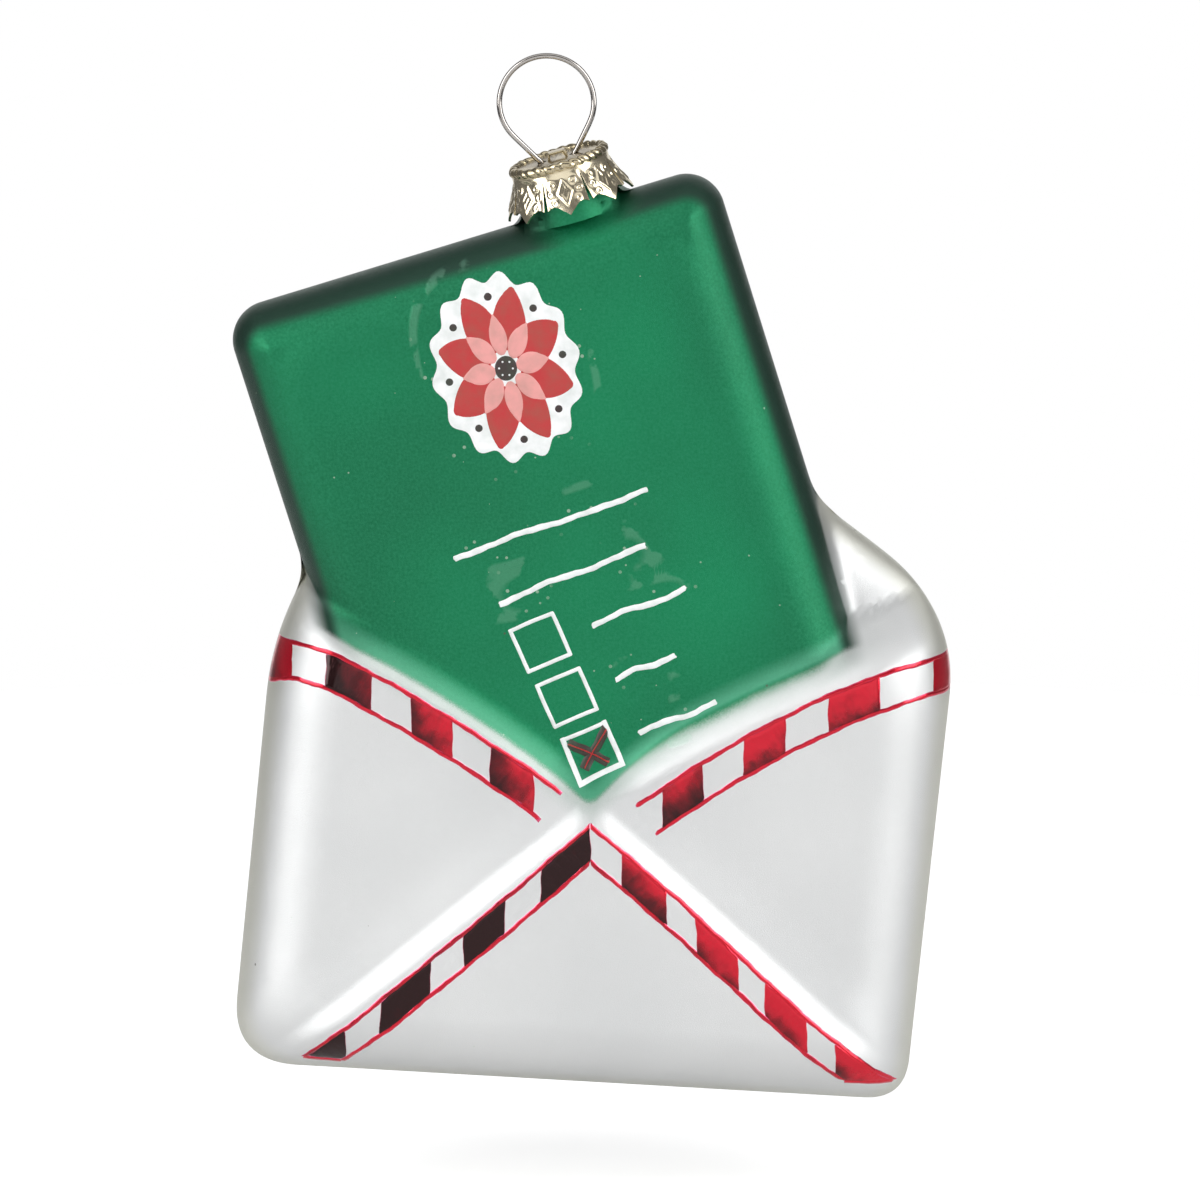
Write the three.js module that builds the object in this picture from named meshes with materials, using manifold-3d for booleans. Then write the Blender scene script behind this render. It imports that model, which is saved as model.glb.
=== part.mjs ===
// Glass envelope ornament: a letter standing in an open envelope, blown as one hollow glass shell,
// with a stamped crown cap on its neck and a spring wire loop to hang it by.
//
// Millimetres, +Z up. The front of the ornament faces -Y. The origin is the hang point: the top of
// the inside of the wire loop, where a hook bears.
//
// The glass is modelled the way it is made. A bubble (a sphere whose poles face front and back) is
// blown against the two halves of a mould, and each half is a height over the X-Z plane. The inside
// of the shell is the same bubble, one wall thickness smaller.

import * as THREE from 'three';
import { mergeVertices } from 'three/addons/utils/BufferGeometryUtils.js';
import Module from 'manifold-3d';

const wasm = await Module();
wasm.setup();

// Wire loop
const WIRE_D = 0.7;
const LOOP_INNER_R = 5.5;
const LOOP_RISE = 7.05; // cap top to loop centre
const LOOP_LEAN = 4.7; // degrees, the loop leans from the neck's axis towards the plumb line
const HOLE_SPACING = 4.1;
const LEG_DEPTH = 6.9; // cap top to leg tips
const LEG_WALL_GAP = 0.45; // leg tips to the wall of the neck

// Cap
const SHEET = 0.3;
const CAP_FIT = 0.25; // neck to the inside of the skirt, and neck rim to the underside of the cap
const CORD_R = 0.65; // section of the corded rim
const CORD_DROP = 0.25; // cap top to the middle of the cord
const CORD_PROUD = 0.25; // the cord stands out from the skirt
const CORD_FOOT = 0.05; // the cord's inner side leans in to the top
const WIRE_HOLE_R = 0.6;
const PETALS = 8;
const PETAL_DEPTH = 5.9; // cap top to petal tips
const PETAL_FLARE = 1.9; // skirt to petal tips
const FLARE_POWER = 1.3; // 1 is a straight cone, more keeps the flare to the tips
const PETAL_SCALLOP = 1.0; // petal tips to petal corners
const SCALLOP_TURN = 0.45; // where a scallop turns level, from tip to corner
const PETAL_TIP_W = 0.25;
const SLIT_TOP = 1.7; // cap top to the closed end of a slit
const SLIT_TOP_W = 0.12;
const SLIT_MOUTH_W = 0.55;
const BRIDGE_W = 1.7;
const BRIDGE_GAP = 0.05; // wire hole to the foot of the bridge
const BRIDGE_H = 0.95;
const BRIDGE_SLOPE = 0.15; // how far its ends lean in

// Glass shell
const WALL = 1.0;
const WALL_THINNEST = 0.5; // in the tightest creases
const NECK_TILT = 16; // degrees, neck and letter lean to the left
const LETTER_TILT = 17.2;
const NECK_R = 5.6;
const NECK_ROOT_R = 6; // the neck's soft root
const NECK_ROOT_H = 2; // above and below the letter's top edge
const NECK_TO_LETTER = 6.5; // cap top to the top edge of the letter
const BORE_FOOT = 0.6; // the round bore ends this far under the letter's top edge
const THROAT_DEPTH = 3; // the flatter throat, from the letter's top edge
const THROAT_FLATNESS = 0.6; // its thickness over its width
const NECK_OFF_CENTRE = 13.8; // neck axis to the middle of the letter
const LETTER_W = 63.6;
const LETTER_L = 79;
const LETTER_T = 16;
const LETTER_ROLL = 8; // width of the rounded edge
const LETTER_CORNER_R = 4.8;

// Envelope: its corners are counted from the middle of its base, along the base and up the sides
const BASE_MID_X = 1.2; // from the neck's axis at the cap top
const BASE_MID_Z = -117.4;
const BASE_SLOPE = 3.4; // degrees, the base falls to the right
const SIDE_LEAN = 5.8; // degrees, the sides lean to the right
const ENVELOPE_W = 85.2;
const SIDE_H_LEFT = 60; // base to the fold of the back flap
const SIDE_H_RIGHT = 62.5;
const FLAP_APEX_SHIFT = -11.2; // from the middle of the base
const FLAP_APEX_H = 98;
const ROUNDING_BASE_LEFT = 8; // width of the rounding at each corner
const ROUNDING_BASE_RIGHT = 5;
const ROUNDING_FOLD_RIGHT = 9;
const ROUNDING_APEX = 8;
const ROUNDING_FOLD_LEFT = 8;
const ENVELOPE_FRONT = 12.5; // pocket in front of the letter's middle plane
const ENVELOPE_BACK = 10.5;
const ENVELOPE_ROLL = 10;
const POCKET_MID = -0.5; // the rounded edge's middle, in Y, on the pocket
const FLAP_MID = 4.5; // and on the flap
const FLAP_FRONT = 1.5; // open flap in front of the letter's middle plane
const CREASE = 2.5; // width of the soft crease where letter and envelope meet

// Pocket front: the V of its lip and the pointed lower flap both start at the crossing point
const CROSS_X = 4.1; // from the neck's axis at the cap top
const CROSS_Z = -82.2;
const LIP_RISE_LEFT = 32.2; // degrees above level
const LIP_RISE_RIGHT = 25.8;
const LIP_ARM_L = 48;
const LIP_BOW = 1.9; // upward bow of each arm
const LIP_ROLL = 7; // width of the lip's rounded edge
const LOWER_FALL_LEFT = 39.3; // degrees below level
const LOWER_FALL_RIGHT = 43;
const LOWER_STEP = 1.3; // the lower flap stands on the side flaps
const LOWER_STEP_W = 3.2;
const PANEL_DISH = 0.6; // side flaps hollow this much

// Fineness of the facets
const OUTER_BUBBLE = { meridians: 112, roll: 6, front: 15, back: 8 };
const INNER_BUBBLE = { meridians: 48, roll: 3, front: 8, back: 5 };
const OUTLINE_SAMPLES = 1440;
const TURN_WEIGHT = 14; // meridians drawn to a turn of the outline, against its length in mm
const ARM_WEIGHT = 55; // and to each arm of the lip and the lower flap
const ARM_SPREAD = 7; // degrees to each side of an arm
const LATHE_SEGMENTS = 48;
const HOLE_SEGMENTS = 16;
const CUT_CLEAR = 2; // cutting bodies reach this far past what they cut
const ARC_SIDES = 4; // facets in half a turn of the wire's round section
const LOOP_POINTS = 15; // on the round of the loop
const WIRE_STEPS = 72;

const rad = THREE.MathUtils.degToRad;
const { clamp, lerp, smoothstep } = THREE.MathUtils;

// Solids

function toManifold(geometry) {
  const g = geometry.clone();
  g.deleteAttribute('normal');
  g.deleteAttribute('uv');
  const merged = mergeVertices(g, 1e-5);
  return new wasm.Manifold(new wasm.Mesh({
    numProp: 3,
    vertProperties: new Float32Array(merged.attributes.position.array),
    triVerts: new Uint32Array(merged.index.array),
  }));
}

function toGeometry(manifold) {
  const mesh = manifold.getMesh();
  const g = new THREE.BufferGeometry();
  g.setAttribute('position', new THREE.BufferAttribute(mesh.vertProperties, 3));
  g.setIndex(new THREE.BufferAttribute(mesh.triVerts, 1));
  g.computeVertexNormals();
  return g;
}

// A profile of [radius, height] points turned about the Z axis. It closes on itself.
function latheAboutZ(profile) {
  const points = profile.map(([r, z]) => new THREE.Vector2(r, z));
  return new THREE.LatheGeometry(points, LATHE_SEGMENTS).rotateX(Math.PI / 2);
}

// The neck's frame: origin on the neck's axis at the top of the cap, +Z out along the neck
const loopInNeck = new THREE.Vector3(
  LOOP_RISE * Math.sin(rad(LOOP_LEAN)), 0, LOOP_RISE * Math.cos(rad(LOOP_LEAN)));
const neckTurn = new THREE.Matrix4().makeRotationY(-rad(NECK_TILT));
const capTop = loopInNeck.clone().applyMatrix4(neckTurn).negate()
  .add(new THREE.Vector3(0, 0, -LOOP_INNER_R));

// Mould: outlines in the X-Z plane, counted from the top of the cap on the neck's axis.
// A distance is below zero inside an outline.

// The larger of two values, with the crease between them filled to a soft curve
function softMax(a, b, width) {
  const h = Math.max(width - Math.abs(a - b), 0) / width;
  return Math.max(a, b) + h * h * width / 4;
}

const softMin = (a, b, width) => -softMax(-a, -b, width);

const letterAxisX = [Math.cos(rad(LETTER_TILT)), Math.sin(rad(LETTER_TILT))];
const letterAxisZ = [-Math.sin(rad(LETTER_TILT)), Math.cos(rad(LETTER_TILT))];

function letterDistance(x, z) {
  const across = x * letterAxisX[0] + z * letterAxisX[1] + NECK_OFF_CENTRE;
  const along = x * letterAxisZ[0] + z * letterAxisZ[1] + NECK_TO_LETTER + LETTER_L / 2;
  const qx = Math.abs(across) - LETTER_W / 2 + LETTER_CORNER_R;
  const qz = Math.abs(along) - LETTER_L / 2 + LETTER_CORNER_R;
  const outside = Math.hypot(Math.max(qx, 0), Math.max(qz, 0));
  const inside = Math.min(softMax(qx, qz, LETTER_CORNER_R), 0);
  return outside + inside - LETTER_CORNER_R;
}

// The root of the neck grows out of the letter's top edge. The inside of the shell has none,
// because the bore of the neck is cut through to it.
function neckRootDistance(x, z) {
  const across = x * Math.cos(rad(NECK_TILT)) + z * Math.sin(rad(NECK_TILT));
  const along = z * Math.cos(rad(NECK_TILT)) - x * Math.sin(rad(NECK_TILT)) + NECK_TO_LETTER;
  const ends = Math.max(along - NECK_ROOT_H, -NECK_ROOT_H - along);
  return Math.max(Math.abs(across) - NECK_ROOT_R, ends);
}

const alongBase = new THREE.Vector2(Math.cos(rad(BASE_SLOPE)), -Math.sin(rad(BASE_SLOPE)));
const upSide = new THREE.Vector2(Math.sin(rad(SIDE_LEAN)), Math.cos(rad(SIDE_LEAN)));
const envelopeCorners = [
  { a: -ENVELOPE_W / 2, b: 0, rounding: ROUNDING_BASE_LEFT },
  { a: ENVELOPE_W / 2, b: 0, rounding: ROUNDING_BASE_RIGHT },
  { a: ENVELOPE_W / 2, b: SIDE_H_RIGHT, rounding: ROUNDING_FOLD_RIGHT },
  { a: FLAP_APEX_SHIFT, b: FLAP_APEX_H, rounding: ROUNDING_APEX },
  { a: -ENVELOPE_W / 2, b: SIDE_H_LEFT, rounding: ROUNDING_FOLD_LEFT },
].map(({ a, b, rounding }) => {
  const at = new THREE.Vector2(BASE_MID_X, BASE_MID_Z);
  return { at: at.addScaledVector(alongBase, a).addScaledVector(upSide, b), rounding };
});
const envelopeEdges = envelopeCorners.map(({ at, rounding }, i) => {
  const next = envelopeCorners[(i + 1) % envelopeCorners.length].at;
  const way = next.clone().sub(at).normalize();
  return { at, rounding, normal: new THREE.Vector2(way.y, -way.x) };
});

function envelopeDistance(x, z) {
  const toEdge = envelopeEdges.map(({ at, normal }) =>
    (x - at.x) * normal.x + (z - at.y) * normal.y);
  const toCorner = envelopeEdges.map(({ rounding }, i) =>
    softMax(toEdge[i], toEdge[(i + toEdge.length - 1) % toEdge.length], rounding));
  return Math.max(...toCorner);
}

function outlineDistance(x, z, inset) {
  const sheets = softMin(letterDistance(x, z), envelopeDistance(x, z), CREASE) + inset;
  return inset > 0 ? sheets : softMin(sheets, neckRootDistance(x, z), CREASE);
}

// A line from the crossing point: how far a point lies to its left side, less the line's bow
function beside(x, z, heading, bow) {
  const dx = x - CROSS_X;
  const dz = z - CROSS_Z;
  const run = dx * Math.cos(heading) + dz * Math.sin(heading);
  const off = dz * Math.cos(heading) - dx * Math.sin(heading);
  const part = clamp(run / LIP_ARM_L, 0, 1);
  return off - 4 * bow * part * (1 - part);
}

// How far a point lies above the top of the pocket's V-shaped lip
function aboveLip(x, z) {
  const left = -beside(x, z, Math.PI - rad(LIP_RISE_LEFT), -LIP_BOW);
  const right = beside(x, z, rad(LIP_RISE_RIGHT), LIP_BOW);
  return softMin(left, right, LIP_ROLL);
}

// How far a point lies inside the pointed lower flap
function insideLowerFlap(x, z) {
  const left = beside(x, z, Math.PI + rad(LOWER_FALL_LEFT), 0);
  const right = -beside(x, z, -rad(LOWER_FALL_RIGHT), 0);
  return softMin(left, right, LOWER_STEP_W);
}

// Height of a rounded edge, from 0 at its outline to 1 where the face starts. Outside it falls away.
function roll(depth, width) {
  if (depth <= 0) return 4 * depth / width;
  const t = Math.min(depth / width, 1);
  return Math.sqrt(t * (2 - t));
}

// The front half stands this far towards -Y and the back half this far towards +Y
function mouldHeights(x, z, inset) {
  const letterDepth = -letterDistance(x, z) - inset;
  const sheetDepth = -envelopeDistance(x, z) - inset;
  const lipDepth = LIP_ROLL - aboveLip(x, z) - inset;
  const pocketShare = smoothstep(lipDepth, -LIP_ROLL, LIP_ROLL);

  const plainLetter = (LETTER_T / 2 - inset) * roll(letterDepth, LETTER_ROLL - inset);
  const root = NECK_ROOT_R * roll(-neckRootDistance(x, z), NECK_ROOT_R);
  const letter = inset > 0 ? plainLetter : softMax(plainLetter, root, CREASE);

  const lower = smoothstep(insideLowerFlap(x, z), -LOWER_STEP_W, 0);
  const panel = Math.min(roll(sheetDepth, 3 * ENVELOPE_ROLL), roll(lipDepth, 3 * ENVELOPE_ROLL));
  const pocketTop = ENVELOPE_FRONT - inset + LOWER_STEP * (lower - 1) - PANEL_DISH * panel * (1 - lower);
  const flapTop = FLAP_FRONT - inset;
  const lip = (clamp(roll(lipDepth, LIP_ROLL), 0, 1) + smoothstep(lipDepth, 0, LIP_ROLL)) / 2;
  const faceTop = lerp(flapTop, pocketTop, lip);
  const middle = lerp(FLAP_MID, POCKET_MID, pocketShare);
  const edge = roll(sheetDepth, ENVELOPE_ROLL - inset);
  const sheetFront = -middle + (faceTop + middle) * edge;
  const sheetBack = middle + (ENVELOPE_BACK - inset - middle) * edge;

  return {
    front: softMax(letter, sheetFront, CREASE),
    back: softMax(letter, sheetBack, CREASE),
  };
}

// Distance from the crossing point to the outline, along a heading
function reach(heading, inset) {
  let near = 0;
  let far = ENVELOPE_W + LETTER_L;
  for (let i = 0; i < 40; i += 1) {
    const r = (near + far) / 2;
    const x = CROSS_X + r * Math.cos(heading);
    const z = CROSS_Z + r * Math.sin(heading);
    if (outlineDistance(x, z, inset) < 0) near = r;
    else far = r;
  }
  return near;
}

// Headings of the bubble's meridians: close together where the outline turns, and where the lip
// and the lower flap run out from the crossing point
function meridianHeadings(count, inset) {
  const samples = OUTLINE_SAMPLES;
  const step = 2 * Math.PI / samples;
  const outline = Array.from({ length: samples }, (_, i) => {
    const heading = i * step;
    const r = reach(heading, inset);
    return new THREE.Vector2(Math.cos(heading), Math.sin(heading)).multiplyScalar(r);
  });
  const arms = [
    Math.PI - rad(LIP_RISE_LEFT), rad(LIP_RISE_RIGHT),
    Math.PI + rad(LOWER_FALL_LEFT), 2 * Math.PI - rad(LOWER_FALL_RIGHT),
  ];
  const armSpread = rad(ARM_SPREAD);
  const total = [0];
  for (let i = 0; i < samples; i += 1) {
    const before = outline[(i + samples - 1) % samples];
    const here = outline[i];
    const after = outline[(i + 1) % samples];
    const length = after.distanceTo(here);
    const turn = Math.abs(here.clone().sub(before).angleTo(after.clone().sub(here)));
    const nearArm = arms.reduce((sum, arm) => sum + Math.exp(-(((i * step - arm) / armSpread) ** 2)), 0);
    total.push(total[i] + length + TURN_WEIGHT * turn + ARM_WEIGHT * nearArm * step);
  }
  const headings = [];
  let i = 0;
  for (let k = 0; k < count; k += 1) {
    const want = total[samples] * k / count;
    while (total[i + 1] <= want) i += 1;
    headings.push((i + (want - total[i]) / (total[i + 1] - total[i])) * step);
  }
  return headings;
}

// Two triangles a, b, d and b, c, d that share their longer diagonal b-d become a, b, c and a, c, d
function splitAcrossShorterDiagonals(geometry) {
  const { index, attributes: { position } } = geometry;
  const corner = (i) => new THREE.Vector3().fromBufferAttribute(position, i);
  for (let i = 0; i + 5 < index.count; i += 3) {
    const [a, b, d, b2, c, d2] = index.array.slice(i, i + 6);
    const isQuad = b === b2 && d === d2;
    if (!isQuad) continue;
    if (corner(a).distanceTo(corner(c)) < corner(b).distanceTo(corner(d))) {
      index.array.set([a, b, c, a, c, d], i);
    }
    i += 3;
  }
}

// The bubble: a sphere with its poles to the back and front, each vertex moved to the mould
function blownBubble({ meridians, roll: rollRings, front: frontRings, back: backRings }, inset) {
  const edgeRing = backRings + rollRings;
  const lastRing = edgeRing + rollRings + frontRings;
  const headings = meridianHeadings(meridians, inset);
  const reaches = headings.map((heading) => reach(heading, inset));
  const bubble = new THREE.SphereGeometry(1, meridians, lastRing);
  const position = bubble.attributes.position;
  const rollWidth = LETTER_ROLL - inset;
  for (let ring = 0; ring <= lastRing; ring += 1) {
    const fromEdge = Math.abs(ring - edgeRing);
    const quarter = Math.min(fromEdge / rollRings, 1) * Math.PI / 2;
    const rollIn = rollWidth * (1 - Math.cos(quarter));
    const faceRings = ring < edgeRing ? backRings : frontRings;
    const onFace = Math.max(fromEdge - rollRings, 0) / faceRings;
    for (let m = 0; m <= meridians; m += 1) {
      // The sphere's own columns turn clockwise, seen from the front
      const k = (meridians - m) % meridians;
      const distance = (reaches[k] - rollIn) * (1 - onFace);
      const x = CROSS_X + distance * Math.cos(headings[k]);
      const z = CROSS_Z + distance * Math.sin(headings[k]);
      const { front, back } = mouldHeights(x, z, inset);
      let y = ring < edgeRing ? back : -front;
      if (fromEdge === 0) y = (back - front) / 2;
      position.setXYZ(ring * (meridians + 1) + m, x, y, z);
    }
  }
  splitAcrossShorterDiagonals(bubble);
  return bubble;
}

// Glass shell

const boreR = NECK_R - WALL;
const neckRim = -SHEET - CAP_FIT;

// The round neck ends in a fire-polished rim
function neckPlug() {
  const foot = -NECK_TO_LETTER - WALL;
  const lipR = WALL / 2;
  const rim = [0, 1 / 4, 1 / 2, 3 / 4, 1].map((half) => {
    const turn = half * Math.PI;
    return [
      NECK_R - lipR + lipR * Math.cos(turn),
      neckRim - lipR + lipR * Math.sin(turn),
    ];
  });
  rim.pop();
  return latheAboutZ([[0, foot], [NECK_R, foot], ...rim, [0, neckRim - lipR]]);
}

// A round rod as wide as the bore
function boreRod(bottom, top) {
  return latheAboutZ([[0, bottom], [boreR, bottom], [boreR, top], [0, top]]);
}

// Under the round bore a throat as flat as the letter opens into the bubble
function neckBore() {
  const boreFoot = -NECK_TO_LETTER - BORE_FOOT;
  const throat = boreRod(-NECK_TO_LETTER - THROAT_DEPTH, -NECK_TO_LETTER)
    .scale(1, THROAT_FLATNESS, 1);
  return toManifold(boreRod(boreFoot, neckRim + WALL)).add(toManifold(throat));
}

// The inside is cut back wherever it would leave less than the thinnest wall
function glassShell() {
  const bubble = blownBubble(OUTER_BUBBLE, 0);
  const outside = toManifold(bubble);
  const inside = toManifold(blownBubble(INNER_BUBBLE, WALL))
    .intersect(toManifold(bubble.clone().translate(0, WALL_THINNEST, 0)))
    .intersect(toManifold(bubble.clone().translate(0, -WALL_THINNEST, 0)));
  const plug = toManifold(neckPlug().applyMatrix4(neckTurn));
  const bore = toManifold(toGeometry(neckBore()).applyMatrix4(neckTurn));
  return toGeometry(outside.add(plug).subtract(inside).subtract(bore));
}

// Cap

const skirtInnerR = NECK_R + CAP_FIT;
const skirtOuterR = skirtInnerR + SHEET;
const cordMiddleR = skirtOuterR + CORD_PROUD - CORD_R;
const skirtTop = -CORD_DROP - CORD_R;

// A strip of sheet turned about the neck: flat top, corded rim, flared skirt
function capBlank() {
  const cord = [140, 105, 70, 35, 0, -35, -70].map((degrees) => [
    cordMiddleR + CORD_R * Math.cos(rad(degrees)),
    -CORD_DROP + CORD_R * Math.sin(rad(degrees)),
  ]);
  const skirt = [0, 1 / 3, 2 / 3, 1].map((down) => ({
    flare: PETAL_FLARE * down ** FLARE_POWER,
    z: lerp(skirtTop, -PETAL_DEPTH, down),
  }));
  const outer = skirt.map(({ flare, z }) => [skirtOuterR + flare, z]);
  const inner = skirt.map(({ flare, z }) => [skirtInnerR + flare, z]).reverse();
  const discR = cord[0][0] - CORD_FOOT;
  const profile = [[0, 0], [discR, 0], ...cord, ...outer, ...inner, [skirtInnerR, -SHEET], [0, -SHEET]];
  return latheAboutZ(profile.reverse());
}

// Everything below the scalloped edge from one petal tip to the next, and the slit between them
function petalCutter() {
  const tip = (skirtOuterR + PETAL_FLARE) * Math.sin(Math.PI / PETALS) - PETAL_TIP_W / 2;
  const corner = SLIT_MOUTH_W / 2;
  const cornerZ = -PETAL_DEPTH + PETAL_SCALLOP;
  const edge = new THREE.Shape();
  edge.moveTo(-tip, -PETAL_DEPTH - CUT_CLEAR);
  edge.lineTo(tip, -PETAL_DEPTH - CUT_CLEAR);
  edge.lineTo(tip, -PETAL_DEPTH);
  edge.quadraticCurveTo(lerp(tip, corner, SCALLOP_TURN), cornerZ, corner, cornerZ);
  edge.lineTo(SLIT_TOP_W / 2, -SLIT_TOP);
  edge.lineTo(-SLIT_TOP_W / 2, -SLIT_TOP);
  edge.lineTo(-corner, cornerZ);
  edge.quadraticCurveTo(-lerp(tip, corner, SCALLOP_TURN), cornerZ, -tip, -PETAL_DEPTH);
  const inFrom = skirtInnerR - CUT_CLEAR;
  const depth = skirtOuterR + PETAL_FLARE + CUT_CLEAR - inFrom;
  return new THREE.ExtrudeGeometry(edge, { depth, bevelEnabled: false, curveSegments: 4 })
    .rotateX(Math.PI / 2)
    .translate(0, -inFrom, 0);
}

// The strap that is pressed up from the top between the two wire holes
function bridge() {
  const foot = HOLE_SPACING / 2 - WIRE_HOLE_R - BRIDGE_GAP;
  const shoulder = foot - BRIDGE_SLOPE;
  const strap = new THREE.Shape();
  strap.moveTo(-foot, -SHEET / 2);
  strap.lineTo(-foot + SHEET, -SHEET / 2);
  strap.lineTo(-shoulder + SHEET, BRIDGE_H - SHEET);
  strap.lineTo(shoulder - SHEET, BRIDGE_H - SHEET);
  strap.lineTo(foot - SHEET, -SHEET / 2);
  strap.lineTo(foot, -SHEET / 2);
  strap.lineTo(shoulder, BRIDGE_H);
  strap.lineTo(-shoulder, BRIDGE_H);
  return new THREE.ExtrudeGeometry(strap, { depth: BRIDGE_W, bevelEnabled: false })
    .rotateX(Math.PI / 2)
    .translate(0, BRIDGE_W / 2, 0);
}

function stampedCap() {
  let cap = toManifold(capBlank());
  for (let i = 0; i < PETALS; i += 1) {
    const cutter = petalCutter().rotateZ((i + 1 / 2) / PETALS * 2 * Math.PI);
    cap = cap.subtract(toManifold(cutter));
  }
  for (const side of [-1, 1]) {
    const hole = new THREE.CylinderGeometry(WIRE_HOLE_R, WIRE_HOLE_R, 2 * CUT_CLEAR, HOLE_SEGMENTS)
      .rotateX(Math.PI / 2)
      .translate(side * HOLE_SPACING / 2, 0, 0);
    cap = cap.subtract(toManifold(hole));
  }
  return toGeometry(cap.add(toManifold(bridge())));
}

// Wire loop: up one leg, through its hole, on a tangent to the round of the loop, and back

function hangerWire() {
  const round = LOOP_INNER_R + WIRE_D / 2;
  const tipX = boreR - LEG_WALL_GAP - WIRE_D / 2;
  const centre = new THREE.Vector2(loopInNeck.x, loopInNeck.z);
  const legs = [-1, 1].map((side) => {
    const hole = new THREE.Vector2(side * HOLE_SPACING / 2, -SHEET / 2);
    const tip = new THREE.Vector2(side * tipX, -LEG_DEPTH);
    const toCentre = centre.clone().sub(hole);
    const spread = Math.acos(round / toCentre.length());
    const touchTurn = toCentre.clone().negate().angle() + side * spread;
    const touch = new THREE.Vector2(Math.cos(touchTurn), Math.sin(touchTurn))
      .multiplyScalar(round).add(centre);
    const inside = [0, 0.5, 0.88].map((share) => tip.clone().lerp(hole, share));
    const outside = [0, 0.18, 0.65].map((share) => hole.clone().lerp(touch, share));
    return { touchTurn, path: [...inside, ...outside] };
  });
  const [left, right] = legs;
  const sweep = (left.touchTurn - right.touchTurn + 4 * Math.PI) % (2 * Math.PI);
  const arc = Array.from({ length: LOOP_POINTS }, (_, i) => {
    const turn = left.touchTurn - sweep * i / (LOOP_POINTS - 1);
    return new THREE.Vector2(Math.cos(turn), Math.sin(turn)).multiplyScalar(round).add(centre);
  });
  const route = [...left.path, ...arc, ...right.path.reverse()]
    .map((p) => new THREE.Vector3(p.x, 0, p.y));
  const section = new THREE.Shape().absarc(0, 0, WIRE_D / 2, 0, 2 * Math.PI);
  return new THREE.ExtrudeGeometry(section, {
    extrudePath: new THREE.CatmullRomCurve3(route, false, 'centripetal'),
    steps: WIRE_STEPS,
    curveSegments: ARC_SIDES,
    bevelEnabled: false,
  });
}

// Assembly

function pieceMesh(name, geometry, color, roughness, metalness) {
  const material = new THREE.MeshStandardMaterial({ color, roughness, metalness });
  const mesh = new THREE.Mesh(geometry, material);
  mesh.name = name;
  return mesh;
}

const glass = pieceMesh('glass_body', glassShell(), 0xd7d9d9, 0.35, 0.6);
glass.position.copy(capTop);

const onNeck = new THREE.Group();
onNeck.position.copy(capTop);
onNeck.rotation.y = -rad(NECK_TILT);
onNeck.add(pieceMesh('cap', stampedCap(), 0xcbb98a, 0.25, 1));
onNeck.add(pieceMesh('hanger_wire', hangerWire(), 0xc8c6c2, 0.2, 1));

const ornament = new THREE.Group();
ornament.add(glass);
ornament.add(onNeck);

export default ornament;
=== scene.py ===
# %% [markdown]
# # A blown glass envelope ornament
# A letter looks out of an envelope. On the real object both are one thin glass bubble, blown in a
# mould, silvered, lacquered and striped by hand. A stamped cap and a spring wire loop hang it up.
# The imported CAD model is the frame: every piece made here goes where the CAD says.

# %% Load the frame
import math

import bpy
import numpy as np
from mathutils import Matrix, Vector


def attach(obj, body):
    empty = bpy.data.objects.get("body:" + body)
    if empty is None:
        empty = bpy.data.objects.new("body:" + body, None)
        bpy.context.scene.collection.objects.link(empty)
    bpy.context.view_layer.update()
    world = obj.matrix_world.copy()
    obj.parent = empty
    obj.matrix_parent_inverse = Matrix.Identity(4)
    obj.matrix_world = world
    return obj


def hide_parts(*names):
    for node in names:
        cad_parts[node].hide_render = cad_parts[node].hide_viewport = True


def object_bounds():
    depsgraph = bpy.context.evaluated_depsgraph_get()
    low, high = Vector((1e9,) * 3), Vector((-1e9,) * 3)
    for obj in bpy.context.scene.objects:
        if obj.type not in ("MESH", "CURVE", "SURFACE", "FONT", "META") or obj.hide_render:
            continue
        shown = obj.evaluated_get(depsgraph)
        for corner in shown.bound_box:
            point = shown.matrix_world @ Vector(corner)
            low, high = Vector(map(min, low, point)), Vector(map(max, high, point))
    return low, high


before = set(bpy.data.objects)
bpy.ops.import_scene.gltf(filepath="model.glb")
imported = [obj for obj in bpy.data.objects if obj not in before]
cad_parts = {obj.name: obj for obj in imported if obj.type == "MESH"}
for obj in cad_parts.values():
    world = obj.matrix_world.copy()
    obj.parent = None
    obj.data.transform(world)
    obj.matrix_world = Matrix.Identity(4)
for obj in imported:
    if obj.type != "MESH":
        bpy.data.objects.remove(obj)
cad_low, cad_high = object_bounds()
MM = 0.001
CAP_TOP = np.array([1.3814, 0.0, -12.4133])  # mm, the middle of the cap's top
NECK_TILT = math.radians(16)
print("CAD box in mm:", [round(v / MM, 1) for v in (*cad_low, *cad_high)])

# %% [markdown]
# ## Small tools
# An operator acts on all that is selected, so a new primitive starts from an empty selection. A
# primitive's own coordinates say where each vertex lies on it, so its vertices can be moved to
# where they belong, as a sculptor pushes clay.

# %% Small tools


def deselect():
    bpy.ops.object.select_all(action="DESELECT")


def use_only(obj):
    deselect()
    obj.select_set(True)
    bpy.context.view_layer.objects.active = obj


def vertices(obj):
    places = np.empty(len(obj.data.vertices) * 3)
    obj.data.vertices.foreach_get("co", places)
    return places.reshape(-1, 3)


def move_vertices(obj, places):
    obj.data.vertices.foreach_set("co", np.asarray(places, float).ravel())
    obj.data.update()


def tilted(a, b, tilt):
    """A point that is a along and b up in a leaning frame, in the upright one."""
    c, s = math.cos(tilt), math.sin(tilt)
    return a * c - b * s, a * s + b * c


def tilted_about(centre, a, b, tilt):
    x, z = tilted(a, b, tilt)
    return centre[0] + x, centre[1] + z


def at_cap_top(x, y, z):
    """Millimetres from the cap's top, upright, in the frame's metres."""
    return (np.stack([x, y, z], -1) + CAP_TOP) * MM


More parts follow.
